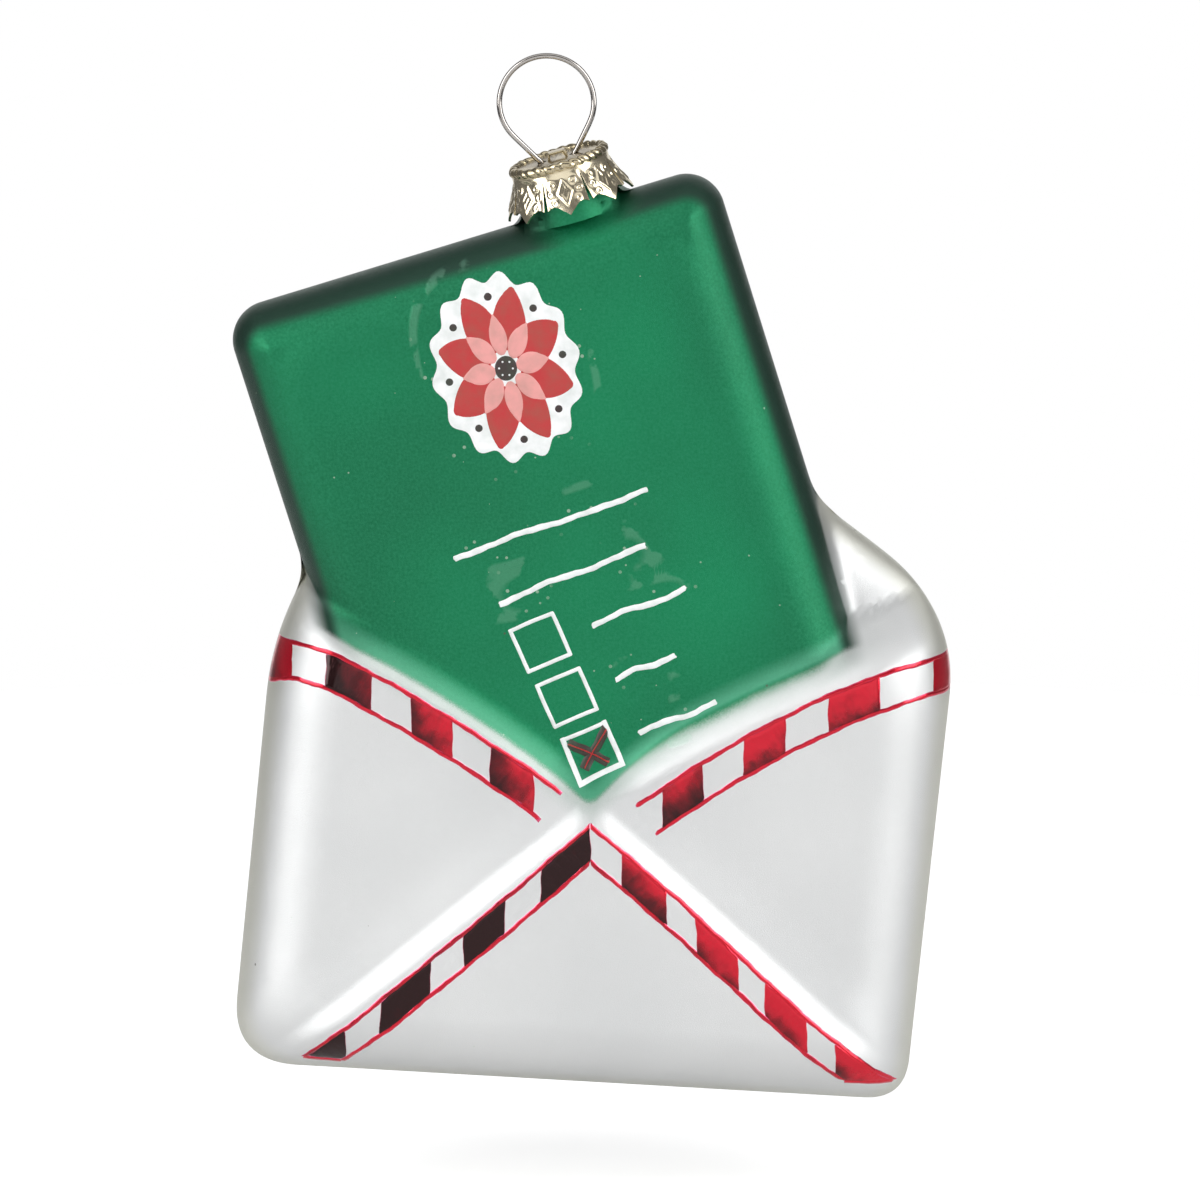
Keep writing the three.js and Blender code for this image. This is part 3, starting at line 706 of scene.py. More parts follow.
# %% The flower
FLOWER_STRETCH, PETAL_PAIRS, DOT_REACH = 1.28, 8, 7.2
EIGHTH = 2 * math.pi / PETAL_PAIRS
picture = [disc(FLOWER, (9.4, 12.2), "white", 0.07, scallops=14, depth=0.1, tilt=FLOWER_TILT, steps=168)]
for i in range(PETAL_PAIRS):
    picture.append(petal((i + 0.5) * EIGHTH, 1.6, 8.4, 4.6, "red", 0.11))
for i in range(PETAL_PAIRS):
    picture.append(petal(i * EIGHTH, 1.2, 5.6, 2.5, "pink", 0.15))
for i in range(PETAL_PAIRS):
    dot_x, dot_z = DOT_REACH * math.cos(i * EIGHTH), DOT_REACH * math.sin(i * EIGHTH) * FLOWER_STRETCH
    at = tilted_about(FLOWER, dot_x, dot_z, FLOWER_TILT)
    picture.append(disc(at, (0.62, 0.62), "dark", 0.13, steps=20))
picture.append(disc(FLOWER, (1.5, 1.7), "dark", 0.18, steps=40))
for i in range(6):
    heading = i * math.pi / 3
    at = FLOWER[0] + 0.85 * math.cos(heading), FLOWER[1] + 0.95 * math.sin(heading)
    picture.append(disc(at, (0.33, 0.33), "white", 0.22, steps=16))
flower = join("letter_flower", picture)
print("flower:", triangles(flower), "triangles")

# %% Ruled lines, boxes and a cross
BOX_SIDE, BOX_TILT, BOX_LINE = 5.65, math.radians(23.5), 0.56
BOXES = [(-2.2, -59.7), (1.1, -66.7), (4.3, -73.6)]
CROSS = [((-2.4, 2.1), (1.3, -2.0)), ((-1.8, -1.4), (2.8, 2.0))]
RULES = [
    ((-12.9, -49.2), (11.2, -40.2)), ((-7.3, -54.9), (10.9, -47.2)),
    ((4.2, -57.6), (15.9, -52.8)), ((7.0, -64.5), (14.6, -61.2)), ((10.0, -71.4), (19.8, -67.2)),
]


def bent_route(box, ends, bend):
    """A line in a box's own frame, bent by moving its middle along and up."""
    middle = [(p + q) / 2 + bend for p, q in zip(*ends)]
    return [tilted_about(box, *point, BOX_TILT) for point in (ends[0], middle, ends[1])]


ruled = []
for number, centre in enumerate(BOXES):
    h, end = BOX_SIDE / 2, BOX_SIDE / 2 + BOX_LINE / 2
    sides = [((-end, -h), (end, -h)), ((h, -end), (h, end)), ((end, h), (-end, h)), ((-h, end), (-h, -end))]
    for side, ends in enumerate(sides):
        route = bent_route(centre, ends, 0.06 * math.sin(number + side))
        ruled.append(line(route, BOX_LINE, "white", FILM + 0.01 * side, seed=number * 4 + side, size=0.02))
for k, ends in enumerate(CROSS):
    route = bent_route(BOXES[2], ends, 0.12)
    ruled.append(line(route, 1.15, "brown", FILM + 0.05 + 0.02 * k, seed=31 + k, size=0.14))
    ruled.append(line(route, 0.3, "red", FILM + 0.45 + 0.02 * k, seed=37 + k, size=0.05))
for number, ends in enumerate(RULES):
    a, b = np.array(ends)
    route = [a, (2 * a + b) / 3 + (0, 0.25), (a + 2 * b) / 3 - (0, 0.2), b]
    ruled.append(line(route, 0.8, "white", seed=50 + number, size=0.12))
ruled = join("letter_lines", ruled)
for piece in (flower, ruled):
    smooth(piece, 60)
    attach(piece, "glass")
print("lines and boxes:", triangles(ruled), "triangles")

# %% [markdown]
# ## The cap
# The cap is stamped from thin sheet. One petal is modelled as a grid bent round the neck, with its
# scalloped foot, half a slit on each side and the pressed pattern. Seven copies are turned round
# the axis, their shared edges are merged, and Solidify gives the sheet its thickness.

# %% One petal of the skirt
SHEET, SKIRT_ROOM, CORD_R, CORD_DROP, CORD_PROUD = 0.3, 0.25, 0.65, 0.25, 0.25
SKIRT_R = NECK_R + SKIRT_ROOM + SHEET
PETALS, PETAL_DEPTH, PETAL_FLARE, PETAL_SCALLOP = 8, 6.0, 1.9, 1.0
SLIT_TOP, SLIT_TOP_W, SLIT_MOUTH_W = 1.7, 0.12, 0.55
FOOT_POINT, FOOT_ARC = 0.42, 0.28  # the point's share of the width, and the scallop's rise in mm
EMBOSS, BUCKLE = 0.12, 0.15


def ridge(distance, width):
    return np.exp(-((distance / width) ** 2))


def pressed_pattern(across, down):
    """Height of the pattern: a pointed leaf with a wavy vein, and rows of small rings beside it."""
    leaf_mid, leaf_half_h, leaf_half_w = -3.3, 1.7, 1.05
    t = (down - leaf_mid) / leaf_half_h
    leaf = 1 - np.abs(t) - np.abs(across) / leaf_half_w
    height = 0.9 * smooth_step(leaf, -0.1, 0.24) - 0.55 * smooth_step(leaf, 0.34, 0.66)
    vein = across - 0.3 * np.sin((down - leaf_mid) * 2.3)
    height = height + 0.35 * ridge(vein, 0.2) * smooth_step(1.1 - np.abs(t), 0, 0.3)
    for side, row in ((1.3, -2.15), (1.8, -3.2), (1.5, -4.3)):
        away = np.hypot(np.abs(across) - side, down - row)
        height = height + 0.8 * ridge(away - 0.3, 0.18)
    return EMBOSS * height


def skirt_petal():
    obj, u, v = new_grid("petal", 64, 72)
    a = 2 * u - 1
    point = np.minimum(np.abs(a) / FOOT_POINT, 1)
    arc = np.clip((np.abs(a) - FOOT_POINT) / (1 - FOOT_POINT), 0, 1)
    foot = -PETAL_DEPTH + PETAL_SCALLOP * point ** 0.9 + FOOT_ARC * np.sin(np.pi * arc)
    z = -CORD_DROP + v * (foot + CORD_DROP)
    down = np.clip((-z - CORD_DROP - CORD_R) / (PETAL_DEPTH - CORD_DROP - CORD_R), 0, 1)
    radius = SKIRT_R + PETAL_FLARE * down ** 1.3
    slit = np.clip((-z - SLIT_TOP) / (PETAL_DEPTH - PETAL_SCALLOP - SLIT_TOP), 0, 1)
    half_slit = np.where(-z > SLIT_TOP, SLIT_TOP_W / 2 + (SLIT_MOUTH_W - SLIT_TOP_W) / 2 * slit, 0)
    turn = a * (math.pi / PETALS - half_slit / radius)
    across = turn * radius
    fade = smooth_step(-z, CORD_DROP + CORD_R, SLIT_TOP) * smooth_step(1 - np.abs(a), 0, 0.12)
    buckle = BUCKLE * np.sin(a * 2.6 + z) * smooth_step(1 - np.abs(a), 0, 0.3)
    radius = np.maximum(radius + (pressed_pattern(across, z) + buckle) * fade, SKIRT_R - 0.4 * SKIRT_ROOM)
    move_vertices(obj, np.stack([radius * np.cos(turn), radius * np.sin(turn), z], -1) * MM)
    return obj


# %% [markdown]
# The top is a flat disc with two wire holes, and a strap is pressed up between them. The rim is a
# rolled cord with slanting knurls: a torus whose section swells and shrinks as it turns. Where it
# would dip under the neck's rim it is kept just above the glass.

# %% Skirt and top
HOLE_SPACING, WIRE_HOLE_R = 4.1, 0.6
CORD_MIDDLE_R = SKIRT_R + CORD_PROUD - CORD_R

one = skirt_petal()
parts = [one]
for i in range(1, PETALS):
    use_only(one)
    bpy.ops.object.duplicate()
    copy = bpy.context.object
    px, py, pz = vertices(copy).T
    move_vertices(copy, np.stack([*tilted(px, py, i * 2 * math.pi / PETALS), pz], -1))
    parts.append(copy)
skirt = join("skirt", parts)
merge_close(skirt, 2e-6)
apply_modifier(skirt, "SOLIDIFY", thickness=SHEET * MM, offset=-1)


def cylinder(radius, depth, x, z, steps):
    deselect()
    bpy.ops.mesh.primitive_cylinder_add(vertices=steps, radius=radius * MM, depth=depth * MM,
                                        location=(x * MM, 0, z * MM))
    bpy.ops.object.transform_apply(location=True)
    return bpy.context.object


top = cylinder(CORD_MIDDLE_R + 0.1, SHEET, 0, -SHEET / 2, 128)
apply_modifier(top, "BEVEL", width=0.08 * MM, segments=2)
for side in (-1, 1):
    boolean(top, cylinder(WIRE_HOLE_R, 4 * SHEET, side * HOLE_SPACING / 2, 0, 40), "DIFFERENCE")

# %% Cord and bridge
KNURLS = 30
BRIDGE_W, BRIDGE_H, BRIDGE_SLOPE = 1.7, 0.95, 0.15

deselect()
bpy.ops.mesh.primitive_torus_add(major_segments=KNURLS * 12, minor_segments=28,
                                 major_radius=CORD_MIDDLE_R * MM, minor_radius=CORD_R * MM)
cord = bpy.context.object
px, py, pz = vertices(cord).T / MM
turn = np.arctan2(py, px)
section = np.arctan2(pz, np.hypot(px, py) - CORD_MIDDLE_R)
lay = turn * KNURLS + section * 1.9 + 0.5 * np.sin(turn * 7) + 0.35 * np.sin(turn * 17 + 1)
strand = np.abs(np.sin(lay / 2)) ** 0.8
squashed = 0.06 * np.sin(turn * 11 + 2) * np.cos(section * 2)
swell = CORD_R * (0.7 + 0.3 * strand + squashed * strand)
ring_r, ring_z = CORD_MIDDLE_R + swell * np.cos(section), swell * np.sin(section) - CORD_DROP
ring_z = np.where(ring_r < NECK_R + 0.2, np.maximum(ring_z, -SHEET - 0.15), ring_z)
move_vertices(cord, np.stack([ring_r * np.cos(turn), ring_r * np.sin(turn), ring_z], -1) * MM)

strap, u, v = new_grid("strap", 60, 8)
foot_x = HOLE_SPACING / 2 - WIRE_HOLE_R - 0.05
along = 2 * u - 1
shoulder = smooth_step(1 - np.abs(along), 0, 0.3)
strap_x = np.sign(along) * (foot_x * np.abs(along) ** 0.75 - BRIDGE_SLOPE * shoulder * np.abs(along))
strap_z = -SHEET / 2 + (BRIDGE_H + SHEET / 2) * shoulder
move_vertices(strap, np.stack([strap_x, (v - 0.5) * BRIDGE_W, strap_z], -1) * MM)
apply_modifier(strap, "SOLIDIFY", thickness=SHEET * MM, offset=-1)
apply_modifier(strap, "BEVEL", width=0.05 * MM, segments=2)

cap = join("ornament_cap", [skirt, top, cord, strap])
px, py, pz = vertices(cap).T / MM
give(cap, pressed=np.hypot(px, py) - SKIRT_R, down=-pz)
move_vertices(cap, on_neck(px, py, pz))
smooth(cap, 50)
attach(cap, "cap")
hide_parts("cap")
print("cap:", triangles(cap), "triangles")

# %% [markdown]
# ## The wire loop
# One spring wire: up a leg, through its hole, round the loop and down again. A curve through the
# points that the wire passes, with a round section, is what a wire is, so it is drawn as one and
# then made a mesh.

# %% The wire's route
WIRE_R, LOOP_R, LOOP_RISE, LOOP_LEAN = 0.35, 5.85, 7.05, math.radians(4.7)
LEG_ROOM, LEG_END = 0.45, -6.9
LEG_TIP = np.array([BORE_R - LEG_ROOM - WIRE_R, LEG_END])


def from_middle(middle, reach, turn):
    return middle + reach * np.array([math.cos(turn), math.sin(turn)])


loop_middle = from_middle(np.zeros(2), LOOP_RISE, math.pi / 2 - LOOP_LEAN)


def leg(side):
    hole = np.array([side * HOLE_SPACING / 2, -SHEET / 2])
    tip = LEG_TIP * (side, 1)
    to_middle = loop_middle - hole
    spread = math.acos(LOOP_R / np.linalg.norm(to_middle))
    touch_turn = math.atan2(-to_middle[1], -to_middle[0]) + side * spread
    touch = from_middle(loop_middle, LOOP_R, touch_turn)
    path = [tip, (tip + hole) / 2, hole + (tip - hole) * 0.12, hole, hole + (touch - hole) * 0.18,
            hole + (touch - hole) * 0.65]
    return touch_turn, path


(left_turn, left_path), (right_turn, right_path) = leg(-1), leg(1)
sweep = (left_turn - right_turn) % (2 * math.pi)
arc = [from_middle(loop_middle, LOOP_R, turn) for turn in left_turn - np.linspace(0, sweep, 25)]
route = curve_through([*left_path, *arc, *right_path[::-1]], steps=8)

# %% Drawing the wire
deselect()
bpy.ops.curve.primitive_bezier_curve_add()
wire = bpy.context.object
wire.name = "ornament_wire"
wire.data.dimensions = "3D"
wire.data.splines.clear()
spline = wire.data.splines.new("POLY")
spline.points.add(len(route) - 1)
places = on_neck(route[:, 0], np.zeros(len(route)), route[:, 1])
spline.points.foreach_set("co", np.hstack([places, np.ones((len(route), 1))]).ravel())
wire.data.bevel_depth = WIRE_R * MM
wire.data.bevel_resolution = 5
wire.data.use_fill_caps = True
bpy.ops.object.convert(target="MESH")
wire = bpy.context.object
merge_close(wire)
smooth(wire, 50)
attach(wire, "hanger")
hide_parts("hanger_wire")
print("wire:", triangles(wire), "triangles")

# %% [markdown]
# ## Finishes
# Shared effects are node groups: a mottle, dust, scratches and brush marks are each built once and
# placed in the materials with their own values. Each gives masks that the material turns into
# colour, roughness or bump.

# %% Node tools


def connect(node, values):
    """Gives each named input another node's output, a number or a colour."""
    for name, value in values.items():
        socket = node.inputs[name]
        if isinstance(value, bpy.types.NodeSocket):
            node.id_data.links.new(value, socket)
        else:
            socket.default_value = (*value, 1.0) if socket.type == "RGBA" else value


def add_node(tree, kind, inputs=None, **settings):
    node = tree.nodes.new(kind)
    for name, value in settings.items():
        setattr(node, name, value)
    connect(node, inputs or {})
    return node.outputs


def tree_of(*values):
    """The tree of the first output among the values. A socket knows which tree it is in."""
    return next(value.id_data for value in values if isinstance(value, bpy.types.NodeSocket))


def maths(operation, *values):
    return add_node(tree_of(*values), "ShaderNodeMath", dict(enumerate(values)), operation=operation)[0]


def times(a, b):
    return maths("MULTIPLY", a, b)


def remap(value, low, high, to_low=0.0, to_high=1.0, kind="LINEAR"):
    return add_node(value.id_data, "ShaderNodeMapRange",
                    {0: value, 1: low, 2: high, 3: to_low, 4: to_high}, interpolation_type=kind)[0]


def ease(value, low, high, to_low=0.0, to_high=1.0):
    """A remap that starts and ends softly."""
    return remap(value, low, high, to_low, to_high, "SMOOTHSTEP")


def mix(share, a, b):
    return add_node(tree_of(share, a, b), "ShaderNodeMix", {0: share, 6: a, 7: b}, data_type="RGBA")[2]


def bump(height, distance):
    return add_node(height.id_data, "ShaderNodeBump", {"Height": height, "Distance": distance})[0]


def attribute(tree, name, output="Fac"):
    return add_node(tree, "ShaderNodeAttribute", attribute_name=name)[output]


def place(tree):
    return add_node(tree, "ShaderNodeTexCoord")["Object"]


def noise(at, scale, detail):
    """Cloudy noise, stretched to fill 0 to 1."""
    clouds = add_node(at.id_data, "ShaderNodeTexNoise", {"Vector": at, "Scale": scale, "Detail": detail})
    return remap(clouds[0], 0.3, 0.7)


def new_group(name, **inputs):
    group = bpy.data.node_groups.new(name, "ShaderNodeTree")
    for label, value in inputs.items():
        socket = group.interface.new_socket(label, in_out="INPUT", socket_type="NodeSocketFloat")
        socket.default_value = value
    return group, group.nodes.new("NodeGroupInput").outputs


def close_group(group, **masks):
    for label in masks:
        group.interface.new_socket(label, in_out="OUTPUT", socket_type="NodeSocketFloat")
    connect(group.nodes.new("NodeGroupOutput"), masks)
    return group


def use_group(tree, group, **values):
    return add_node(tree, "ShaderNodeGroup", values, node_tree=group)


def new_material(name):
    material = bpy.data.materials.new(name)
    material.use_nodes = True
    tree = material.node_tree
    return material, tree, tree.nodes["Principled BSDF"]


def dress(piece, material):
    piece.data.materials.clear()
    piece.data.materials.append(material)


# %% Shared effects


def make_mottle():
    """Slow clouds and a fine grain, from 0 to 1. Size is the clouds' width in metres."""
    group, given = new_group("mottle", Size=0.01, Detail=4.0)
    scale = maths("DIVIDE", 1.0, given["Size"])
    return close_group(group, Clouds=noise(place(group), scale, given["Detail"]),
                       Grain=noise(place(group), times(scale, 26.0), 2.0))


def scatter(group, given, at):
    """Cells strewn at random: how far a point is from its cell's middle in metres, whether the cell
    is in the share that stays, and a random size for it. Voronoi colours its cells at random."""
    scale = maths("DIVIDE", 1.0, given["Spacing"])
    cells = add_node(group, "ShaderNodeTexVoronoi", {"Vector": at, "Scale": scale})
    chance, size, _ = add_node(group, "ShaderNodeSeparateColor", {0: cells["Color"]})
    stays = maths("LESS_THAN", chance, given["Share"])
    return times(cells["Distance"], given["Spacing"]), stays, size


def make_dust():
    """Specks. Spacing is between them and Radius is theirs in metres, Share how many stay."""
    group, given = new_group("dust", Spacing=0.003, Radius=0.0001, Share=0.5)
    away, stays, size = scatter(group, given, place(group))
    speck = maths("LESS_THAN", away, times(given["Radius"], size))
    return close_group(group, Specks=times(speck, stays))


def make_scratches():
    """Fine scratches: specks in a space squeezed along one way. Turn is that way, in radians."""
    group, given = new_group("scratches", Spacing=0.004, Width=0.00005, Length=20.0, Turn=0.6, Share=0.3)
    turned_place = add_node(group, "ShaderNodeVectorRotate", {"Vector": place(group), "Angle": given["Turn"]},
                            rotation_type="Y_AXIS")[0]
    squeeze = add_node(group, "ShaderNodeCombineXYZ", {
        0: maths("DIVIDE", 1.0, given["Length"]), 1: 1.0, 2: 1.0})[0]
    long_place = add_node(group, "ShaderNodeVectorMath", {0: turned_place, 1: squeeze},
                          operation="MULTIPLY")[0]
    away, stays, _ = scatter(group, given, long_place)
    mark = maths("LESS_THAN", away, given["Width"])
    return close_group(group, Scratches=times(mark, stays))


def make_brush_marks():
    """Streaks across a stroke, from its along and across attributes in millimetres."""
    group, given = new_group("brush_marks", Fineness=1.2)
    on_stroke = add_node(group, "ShaderNodeCombineXYZ", {
        0: times(attribute(group, "along"), given["Fineness"]),
        1: times(attribute(group, "across"), 0.35), 2: attribute(group, "tone")})[0]
    return close_group(group, Streaks=noise(on_stroke, 1.0, 3.0))


MOTTLE = make_mottle()
DUST = make_dust()
SCRATCHES = make_scratches()
BRUSH_MARKS = make_brush_marks()

# %% [markdown]
# The lacquer is satin and metallic: green on the letter, pearl white on the envelope, with green
# overspray along the lip. A border is a distance on the mesh, pushed about a little by clouds and
# grain. The green drifts slowly between a lighter and a darker green. Painted shade darkens it
# towards the letter's outline and towards the lip, a painted highlight lies where it ends along the
# lip, and a painted dark band runs on the letter's rims; a painted light on the neck's root under
# the cap lifts the shade there. The pearl has painted shade near its outline. Dust, scuffs and torn
# bits of the transfers' clear film lie on it. Under the cap the neck is bare silver.

# %% Lacquered glass


def pearl_mask(tree, cloud, mist, line, by_letter):
    """How much of each point is pearl: the sheet's side, less the green overspray along the lip."""
    push = maths("ADD", times(cloud["Clouds"], 0.7), times(mist["Grain"], 1.1))
    push = maths("SUBTRACT", push, 0.9)
    on_sheet = ease(maths("ADD", attribute(tree, "on_sheet"), push), -0.9, 1.5)
    border = ease(maths("ADD", line, times(push, 0.35)), 1.1, 2.2)
    tail = ease(maths("ADD", line, push), -1.2, 2.4, 0.0, 0.35)
    overspray = times(maths("MAXIMUM", border, tail), by_letter)
    overspray = times(overspray, attribute(tree, "on_front"))
    return times(on_sheet, maths("SUBTRACT", 1.0, overspray))


def green_lacquer(tree, slow, grain, line, by_letter):
    green = mix(slow, (0.003, 0.225, 0.088), (0.003, 0.145, 0.058))
    under_cap = attribute(tree, "under_cap")
    # Painted shade: the green darkens towards the letter's outline and towards the lip
    painted_lighting = times(ease(attribute(tree, "letter_depth"), 2.0, 13.0, 0.72, 1.0),
                ease(line, 4.0, 16.0, 0.78, 1.0))
    green = mix(maths("MAXIMUM", painted_lighting, under_cap), (0.001, 0.10, 0.04), green)
    green = mix(times(grain, 0.18), green, (0.05, 0.40, 0.21))
    # Painted highlight: a pale mint streak where the green ends along the lip
    painted_glint = times(ease(line, 1.4, 2.2), ease(line, 2.2, 4.6, 0.36, 0.0))
    green = mix(times(painted_glint, by_letter), green, (0.20, 0.62, 0.42))
    # Painted shade: a dark band on the letter's rims, lifted under the cap by the painted light there
    away_from_painted_rim = maths("MAXIMUM", ease(attribute(tree, "rim_depth"), 0.0, 1.5), under_cap)
    return mix(away_from_painted_rim, (0.018, 0.058, 0.038), green)


def pearl_lacquer(tree, slow):
    pearl = mix(slow, (0.69, 0.70, 0.70), (0.79, 0.797, 0.793))
    # Painted shade: the pearl turns greyer and warmer over the 3 mm inside the outline
    return mix(ease(attribute(tree, "edge_depth"), 0.0, 3.0), (0.68, 0.68, 0.60), pearl)


def pale_marks(tree, clouds, depth, pearl):
    """Dust, scuffs, and crumbs of the clear film near each transfer. The pearl shows them less."""
    near_film = times(remap(depth, -0.6, 0.6), remap(clouds, 0.45, 0.7))
    crumbs = times(use_group(tree, DUST, Spacing=0.0013, Radius=0.00026)["Specks"], near_film)
    dust = use_group(tree, DUST, Spacing=0.0019, Radius=0.00014, Share=0.3)["Specks"]
    scuffs = use_group(tree, SCRATCHES, Spacing=0.0030, Width=0.00006, Length=24.0, Turn=0.9, Share=0.22)
    marks = maths("MAXIMUM", maths("MAXIMUM", dust, crumbs), scuffs["Scratches"])
    return times(marks, maths("SUBTRACT", 0.55, times(pearl, 0.3)))


def make_lacquer():
    material, tree, shader = new_material("lacquer_on_silvered_glass")
    slow = use_group(tree, MOTTLE, Size=0.034, Detail=2.0)["Clouds"]
    cloud = use_group(tree, MOTTLE, Size=0.009, Detail=5.0)
    mist = use_group(tree, MOTTLE, Size=0.0022, Detail=4.0)
    line, depth = attribute(tree, "above_lip"), attribute(tree, "film_depth")
    by_letter = ease(attribute(tree, "letter_depth"), -1.0, 1.5)
    pearl = pearl_mask(tree, cloud, mist, line, by_letter)
    coat = mix(pearl, green_lacquer(tree, slow, cloud["Grain"], line, by_letter),
               pearl_lacquer(tree, slow))
    torn = remap(maths("ABSOLUTE", depth), 0.3, 0.6, 1.0, 0.0)
    film = times(torn, remap(cloud["Clouds"], 0.74, 0.80))
    coat = mix(times(film, 0.22), coat, (0.22, 0.50, 0.34))
    coat = mix(pale_marks(tree, cloud["Clouds"], depth, pearl), coat, (0.50, 0.62, 0.50))
    grit = use_group(tree, DUST, Spacing=0.0062, Radius=0.00022)["Specks"]
    coat = mix(times(grit, 0.75), coat, (0.09, 0.08, 0.06))
    bare = ease(attribute(tree, "up_neck"), 2.4, 3.3)
    rough = remap(mist["Clouds"], 0.0, 1.0, 0.34, 0.40)
    rough = maths("SUBTRACT", rough, times(bare, 0.3))
    connect(shader, {
        "Base Color": mix(bare, coat, (0.72, 0.73, 0.72)), "Metallic": 0.65,
        "Roughness": maths("SUBTRACT", rough, times(film, 0.07)),
        "Coat Weight": remap(pearl, 0.0, 1.0, 0.04, 0.16), "Coat Roughness": 0.35,
        "Normal": bump(maths("ADD", mist["Grain"], times(film, 1.5)), 0.000018)})
    return material


dress(glass, make_lacquer())

# %% [markdown]
# The red is a transparent enamel over the silver, so it glows where it mirrors a lamp and darkens
# where it doesn't. Each block also has a painted shade, from bright red to maroon, that leans along
# and across it, and brush marks run through it. The letter's paints are thinner, and a little of
# the green shows through.

# %% Red enamel and the letter's paints


def make_enamel():
    material, tree, shader = new_material("red_enamel")
    clouds = use_group(tree, MOTTLE, Size=0.0026, Detail=5.0)["Clouds"]
    streaks = use_group(tree, BRUSH_MARKS)["Streaks"]
    drift = maths("ADD", times(clouds, 0.35), times(streaks, 0.12))
    # Painted shade from each stroke, with a random drift from clouds and brush marks added
    tone = maths("ADD", attribute(tree, "tone"), maths("SUBTRACT", drift, 0.24))
    red = mix(ease(tone, 0.1, 0.72), (0.68, 0.010, 0.030), (0.10, 0.004, 0.008))
    red = mix(ease(tone, 0.65, 1.0), red, (0.020, 0.002, 0.0025))
    red = mix(ease(attribute(tree, "rim"), 0.02, 0.16), (0.82, 0.10, 0.24), red)
    connect(shader, {
        "Base Color": red, "Metallic": 0.7, "Roughness": remap(streaks, 0.0, 1.0, 0.15, 0.27),
        "Coat Weight": 0.35, "Coat Roughness": 0.08,
        "Normal": bump(maths("ADD", clouds, streaks), 0.00003)})
    return material


def make_letter_paint():
    material, tree, shader = new_material("letter_paint")
    cloud = use_group(tree, MOTTLE, Size=0.002, Detail=4.0)
    paint = attribute(tree, "paint", "Color")
    thin = mix(0.22, paint, (0.03, 0.16, 0.08))
    connect(shader, {
        "Base Color": mix(remap(cloud["Clouds"], 0.0, 0.8), thin, paint),
        "Roughness": remap(cloud["Grain"], 0.0, 1.0, 0.34, 0.5), "Coat Weight": 0.2,
        "Normal": bump(cloud["Grain"], 0.00002)})
    return material


enamel, letter_paint = make_enamel(), make_letter_paint()
for piece in stripes.values():
    dress(piece, enamel)
for piece in (flower, ruled):
    dress(piece, letter_paint)

# %% [markdown]
# The cap's sheet is bright, with a cloudy tarnish. Its top is stained brown inside the cord, and
# the cord holds some grime. The wire is a plain grey steel that drifts between two tones.

# %% Gold-toned sheet and spring wire


def make_sheet():
    material, tree, shader = new_material("gold_toned_sheet")
    clouds = use_group(tree, MOTTLE, Size=0.003, Detail=5.0)["Clouds"]
    down = attribute(tree, "down")
    colour = mix(times(clouds, 0.4), (0.88, 0.79, 0.58), (0.62, 0.51, 0.33))
    inside_cord = times(remap(attribute(tree, "pressed"), -1.2, -0.9, 1.0, 0.0),
                        remap(down, -0.5, -0.1))
    stained = times(inside_cord, remap(clouds, 0.0, 1.0, 0.55, 0.95))
    colour = mix(stained, colour, (0.17, 0.13, 0.07))
    colour = mix(ease(down, 0.7, 1.0, 0.5, 0.0), colour, (0.30, 0.23, 0.11))
    connect(shader, {
        "Base Color": colour, "Metallic": 1.0, "Roughness": remap(clouds, 0.0, 1.0, 0.20, 0.26),
        "Normal": bump(clouds, 0.000006)})
    return material


def make_wire():
    material, tree, shader = new_material("spring_wire_steel")
    clouds = use_group(tree, MOTTLE, Size=0.006, Detail=3.0)["Clouds"]
    connect(shader, {
        "Base Color": mix(clouds, (0.40, 0.375, 0.35), (0.54, 0.51, 0.48)), "Metallic": 1.0,
        "Roughness": remap(clouds, 0.0, 1.0, 0.10, 0.16)})
    return material


dress(cap, make_sheet())
dress(wire, make_wire())
print("materials:", [m.name for m in bpy.data.materials])

# %% [markdown]
# ## Studio
# Two tall softboxes beside the camera give the rounded edges their bright bands. A wide, dim card in
# front lights the flat faces, and a small one above lights the rims that look up. The room stays
# dark, so that the rims turn dark as on the real object, and a card behind draws the last thin line
# round them. The floor is a round pale table. It keeps the ornament's shadow, and the camera sees
# white past its edge.

# %% Floor and room
FLOOR_R, FLOOR_GAP, FLOOR_WHITE = 0.3, 0.012, 0.55


def make_floor_material():
    material, tree, shader = new_material("pale_floor")
    seen = add_node(tree, "ShaderNodeLightPath")["Is Camera Ray"]
    connect(shader, {
        "Base Color": (0.82, 0.82, 0.82), "Roughness": 0.9, "Specular IOR Level": 0.1,
        "Emission Color": (1.0, 1.0, 1.0), "Emission Strength": times(seen, FLOOR_WHITE)})
    return material


deselect()
bpy.ops.mesh.primitive_circle_add(vertices=128, radius=FLOOR_R, fill_type="NGON",
                                  location=(0, 0, cad_low.z - FLOOR_GAP))
floor = bpy.context.object
floor.name = "studio_floor"
floor.data.materials.append(make_floor_material())

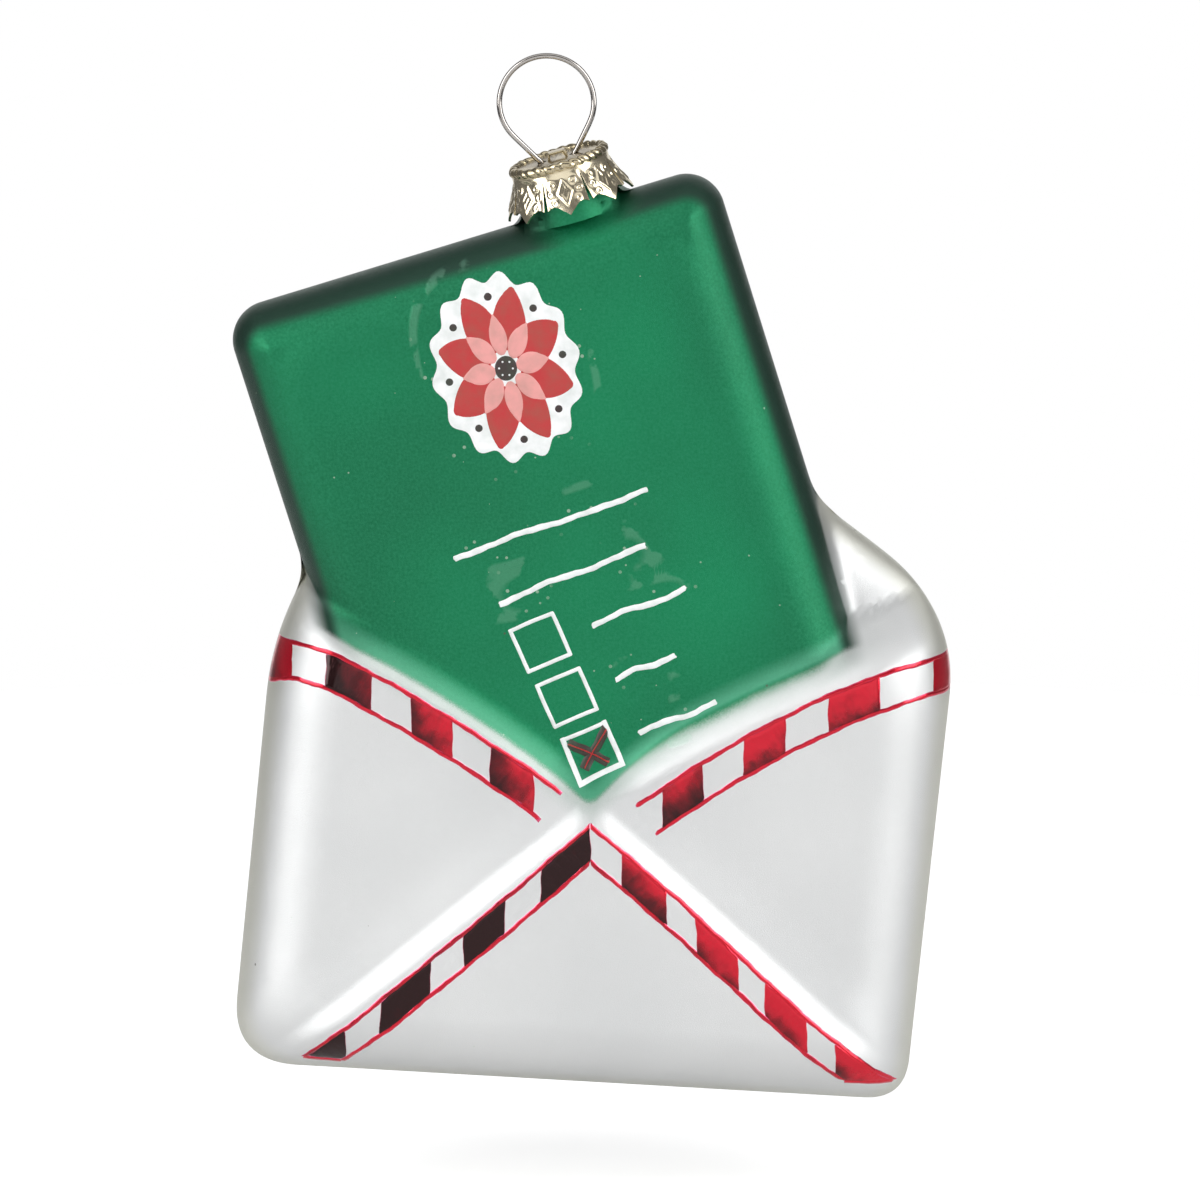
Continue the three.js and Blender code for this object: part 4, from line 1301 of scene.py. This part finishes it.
room_world = bpy.data.worlds.new("room")
bpy.context.scene.world = room_world
room_world.use_nodes = True
room = room_world.node_tree
camera_sees = add_node(room, "ShaderNodeLightPath")["Is Camera Ray"]
connect(room.nodes["Background"], {"Color": mix(camera_sees, (0.15, 0.15, 0.155), (1.0, 1.0, 1.0))})

# %% Lamps
from mathutils import Vector

MIDDLE = Vector((0.0066, 0.0, -0.0684))  # metres, what the camera and the lamps look at
LAMPS = {  # azimuth and elevation in degrees, distance, width and height in metres, radiance
    "softbox_left": (-56, 20, 0.9, 0.5, 0.95, 4.0),
    "softbox_right": (59, 20, 0.9, 0.5, 0.95, 4.2),
    "card_in_front": (0, 0, 1.7, 1.6, 1.4, 0.88),
    "card_above": (0, 84, 0.8, 1.1, 0.7, 0.8),
    "card_behind": (180, 10, 0.9, 1.0, 0.9, 0.7),
}


def softbox(name, azimuth, elevation, distance, width, height, radiance):
    """An area lamp that looks at the ornament. Azimuth 0 is in front, 90 is on its right."""
    a, e = math.radians(azimuth), math.radians(elevation)
    away = Vector((math.sin(a) * math.cos(e), -math.cos(a) * math.cos(e), math.sin(e)))
    deselect()
    bpy.ops.object.light_add(type="AREA", location=MIDDLE + away * distance)
    lamp = bpy.context.object
    lamp.name = name
    lamp.rotation_euler = away.to_track_quat("Z", "Y").to_euler()
    lamp.data.shape = "RECTANGLE"
    lamp.data.size, lamp.data.size_y = width, height
    lamp.data.energy = radiance * math.pi * width * height
    return lamp


for name, setting in LAMPS.items():
    softbox(name, *setting)

# %% [markdown]
# The photograph was taken with a long lens, from a little above. The camera stands far off on a
# narrow angle, and the frame is 150 mm wide at the ornament.

# %% Camera
FRAME_W, LENS, SENSOR, LOOK_DOWN = 0.150, 300, 36, math.radians(12)
camera_distance = FRAME_W * LENS / SENSOR
back_off = Vector((0, -math.cos(LOOK_DOWN), math.sin(LOOK_DOWN)))
deselect()
bpy.ops.object.camera_add(location=MIDDLE + back_off * camera_distance)
camera = bpy.context.object
camera.name = "camera"
camera.rotation_euler = back_off.to_track_quat("Z", "Y").to_euler()
camera.data.lens = LENS
camera.data.sensor_width = SENSOR
bpy.context.scene.camera = camera
bpy.context.scene.view_settings.view_transform = "Standard"
print("camera stands", round(camera_distance, 3), "m away")
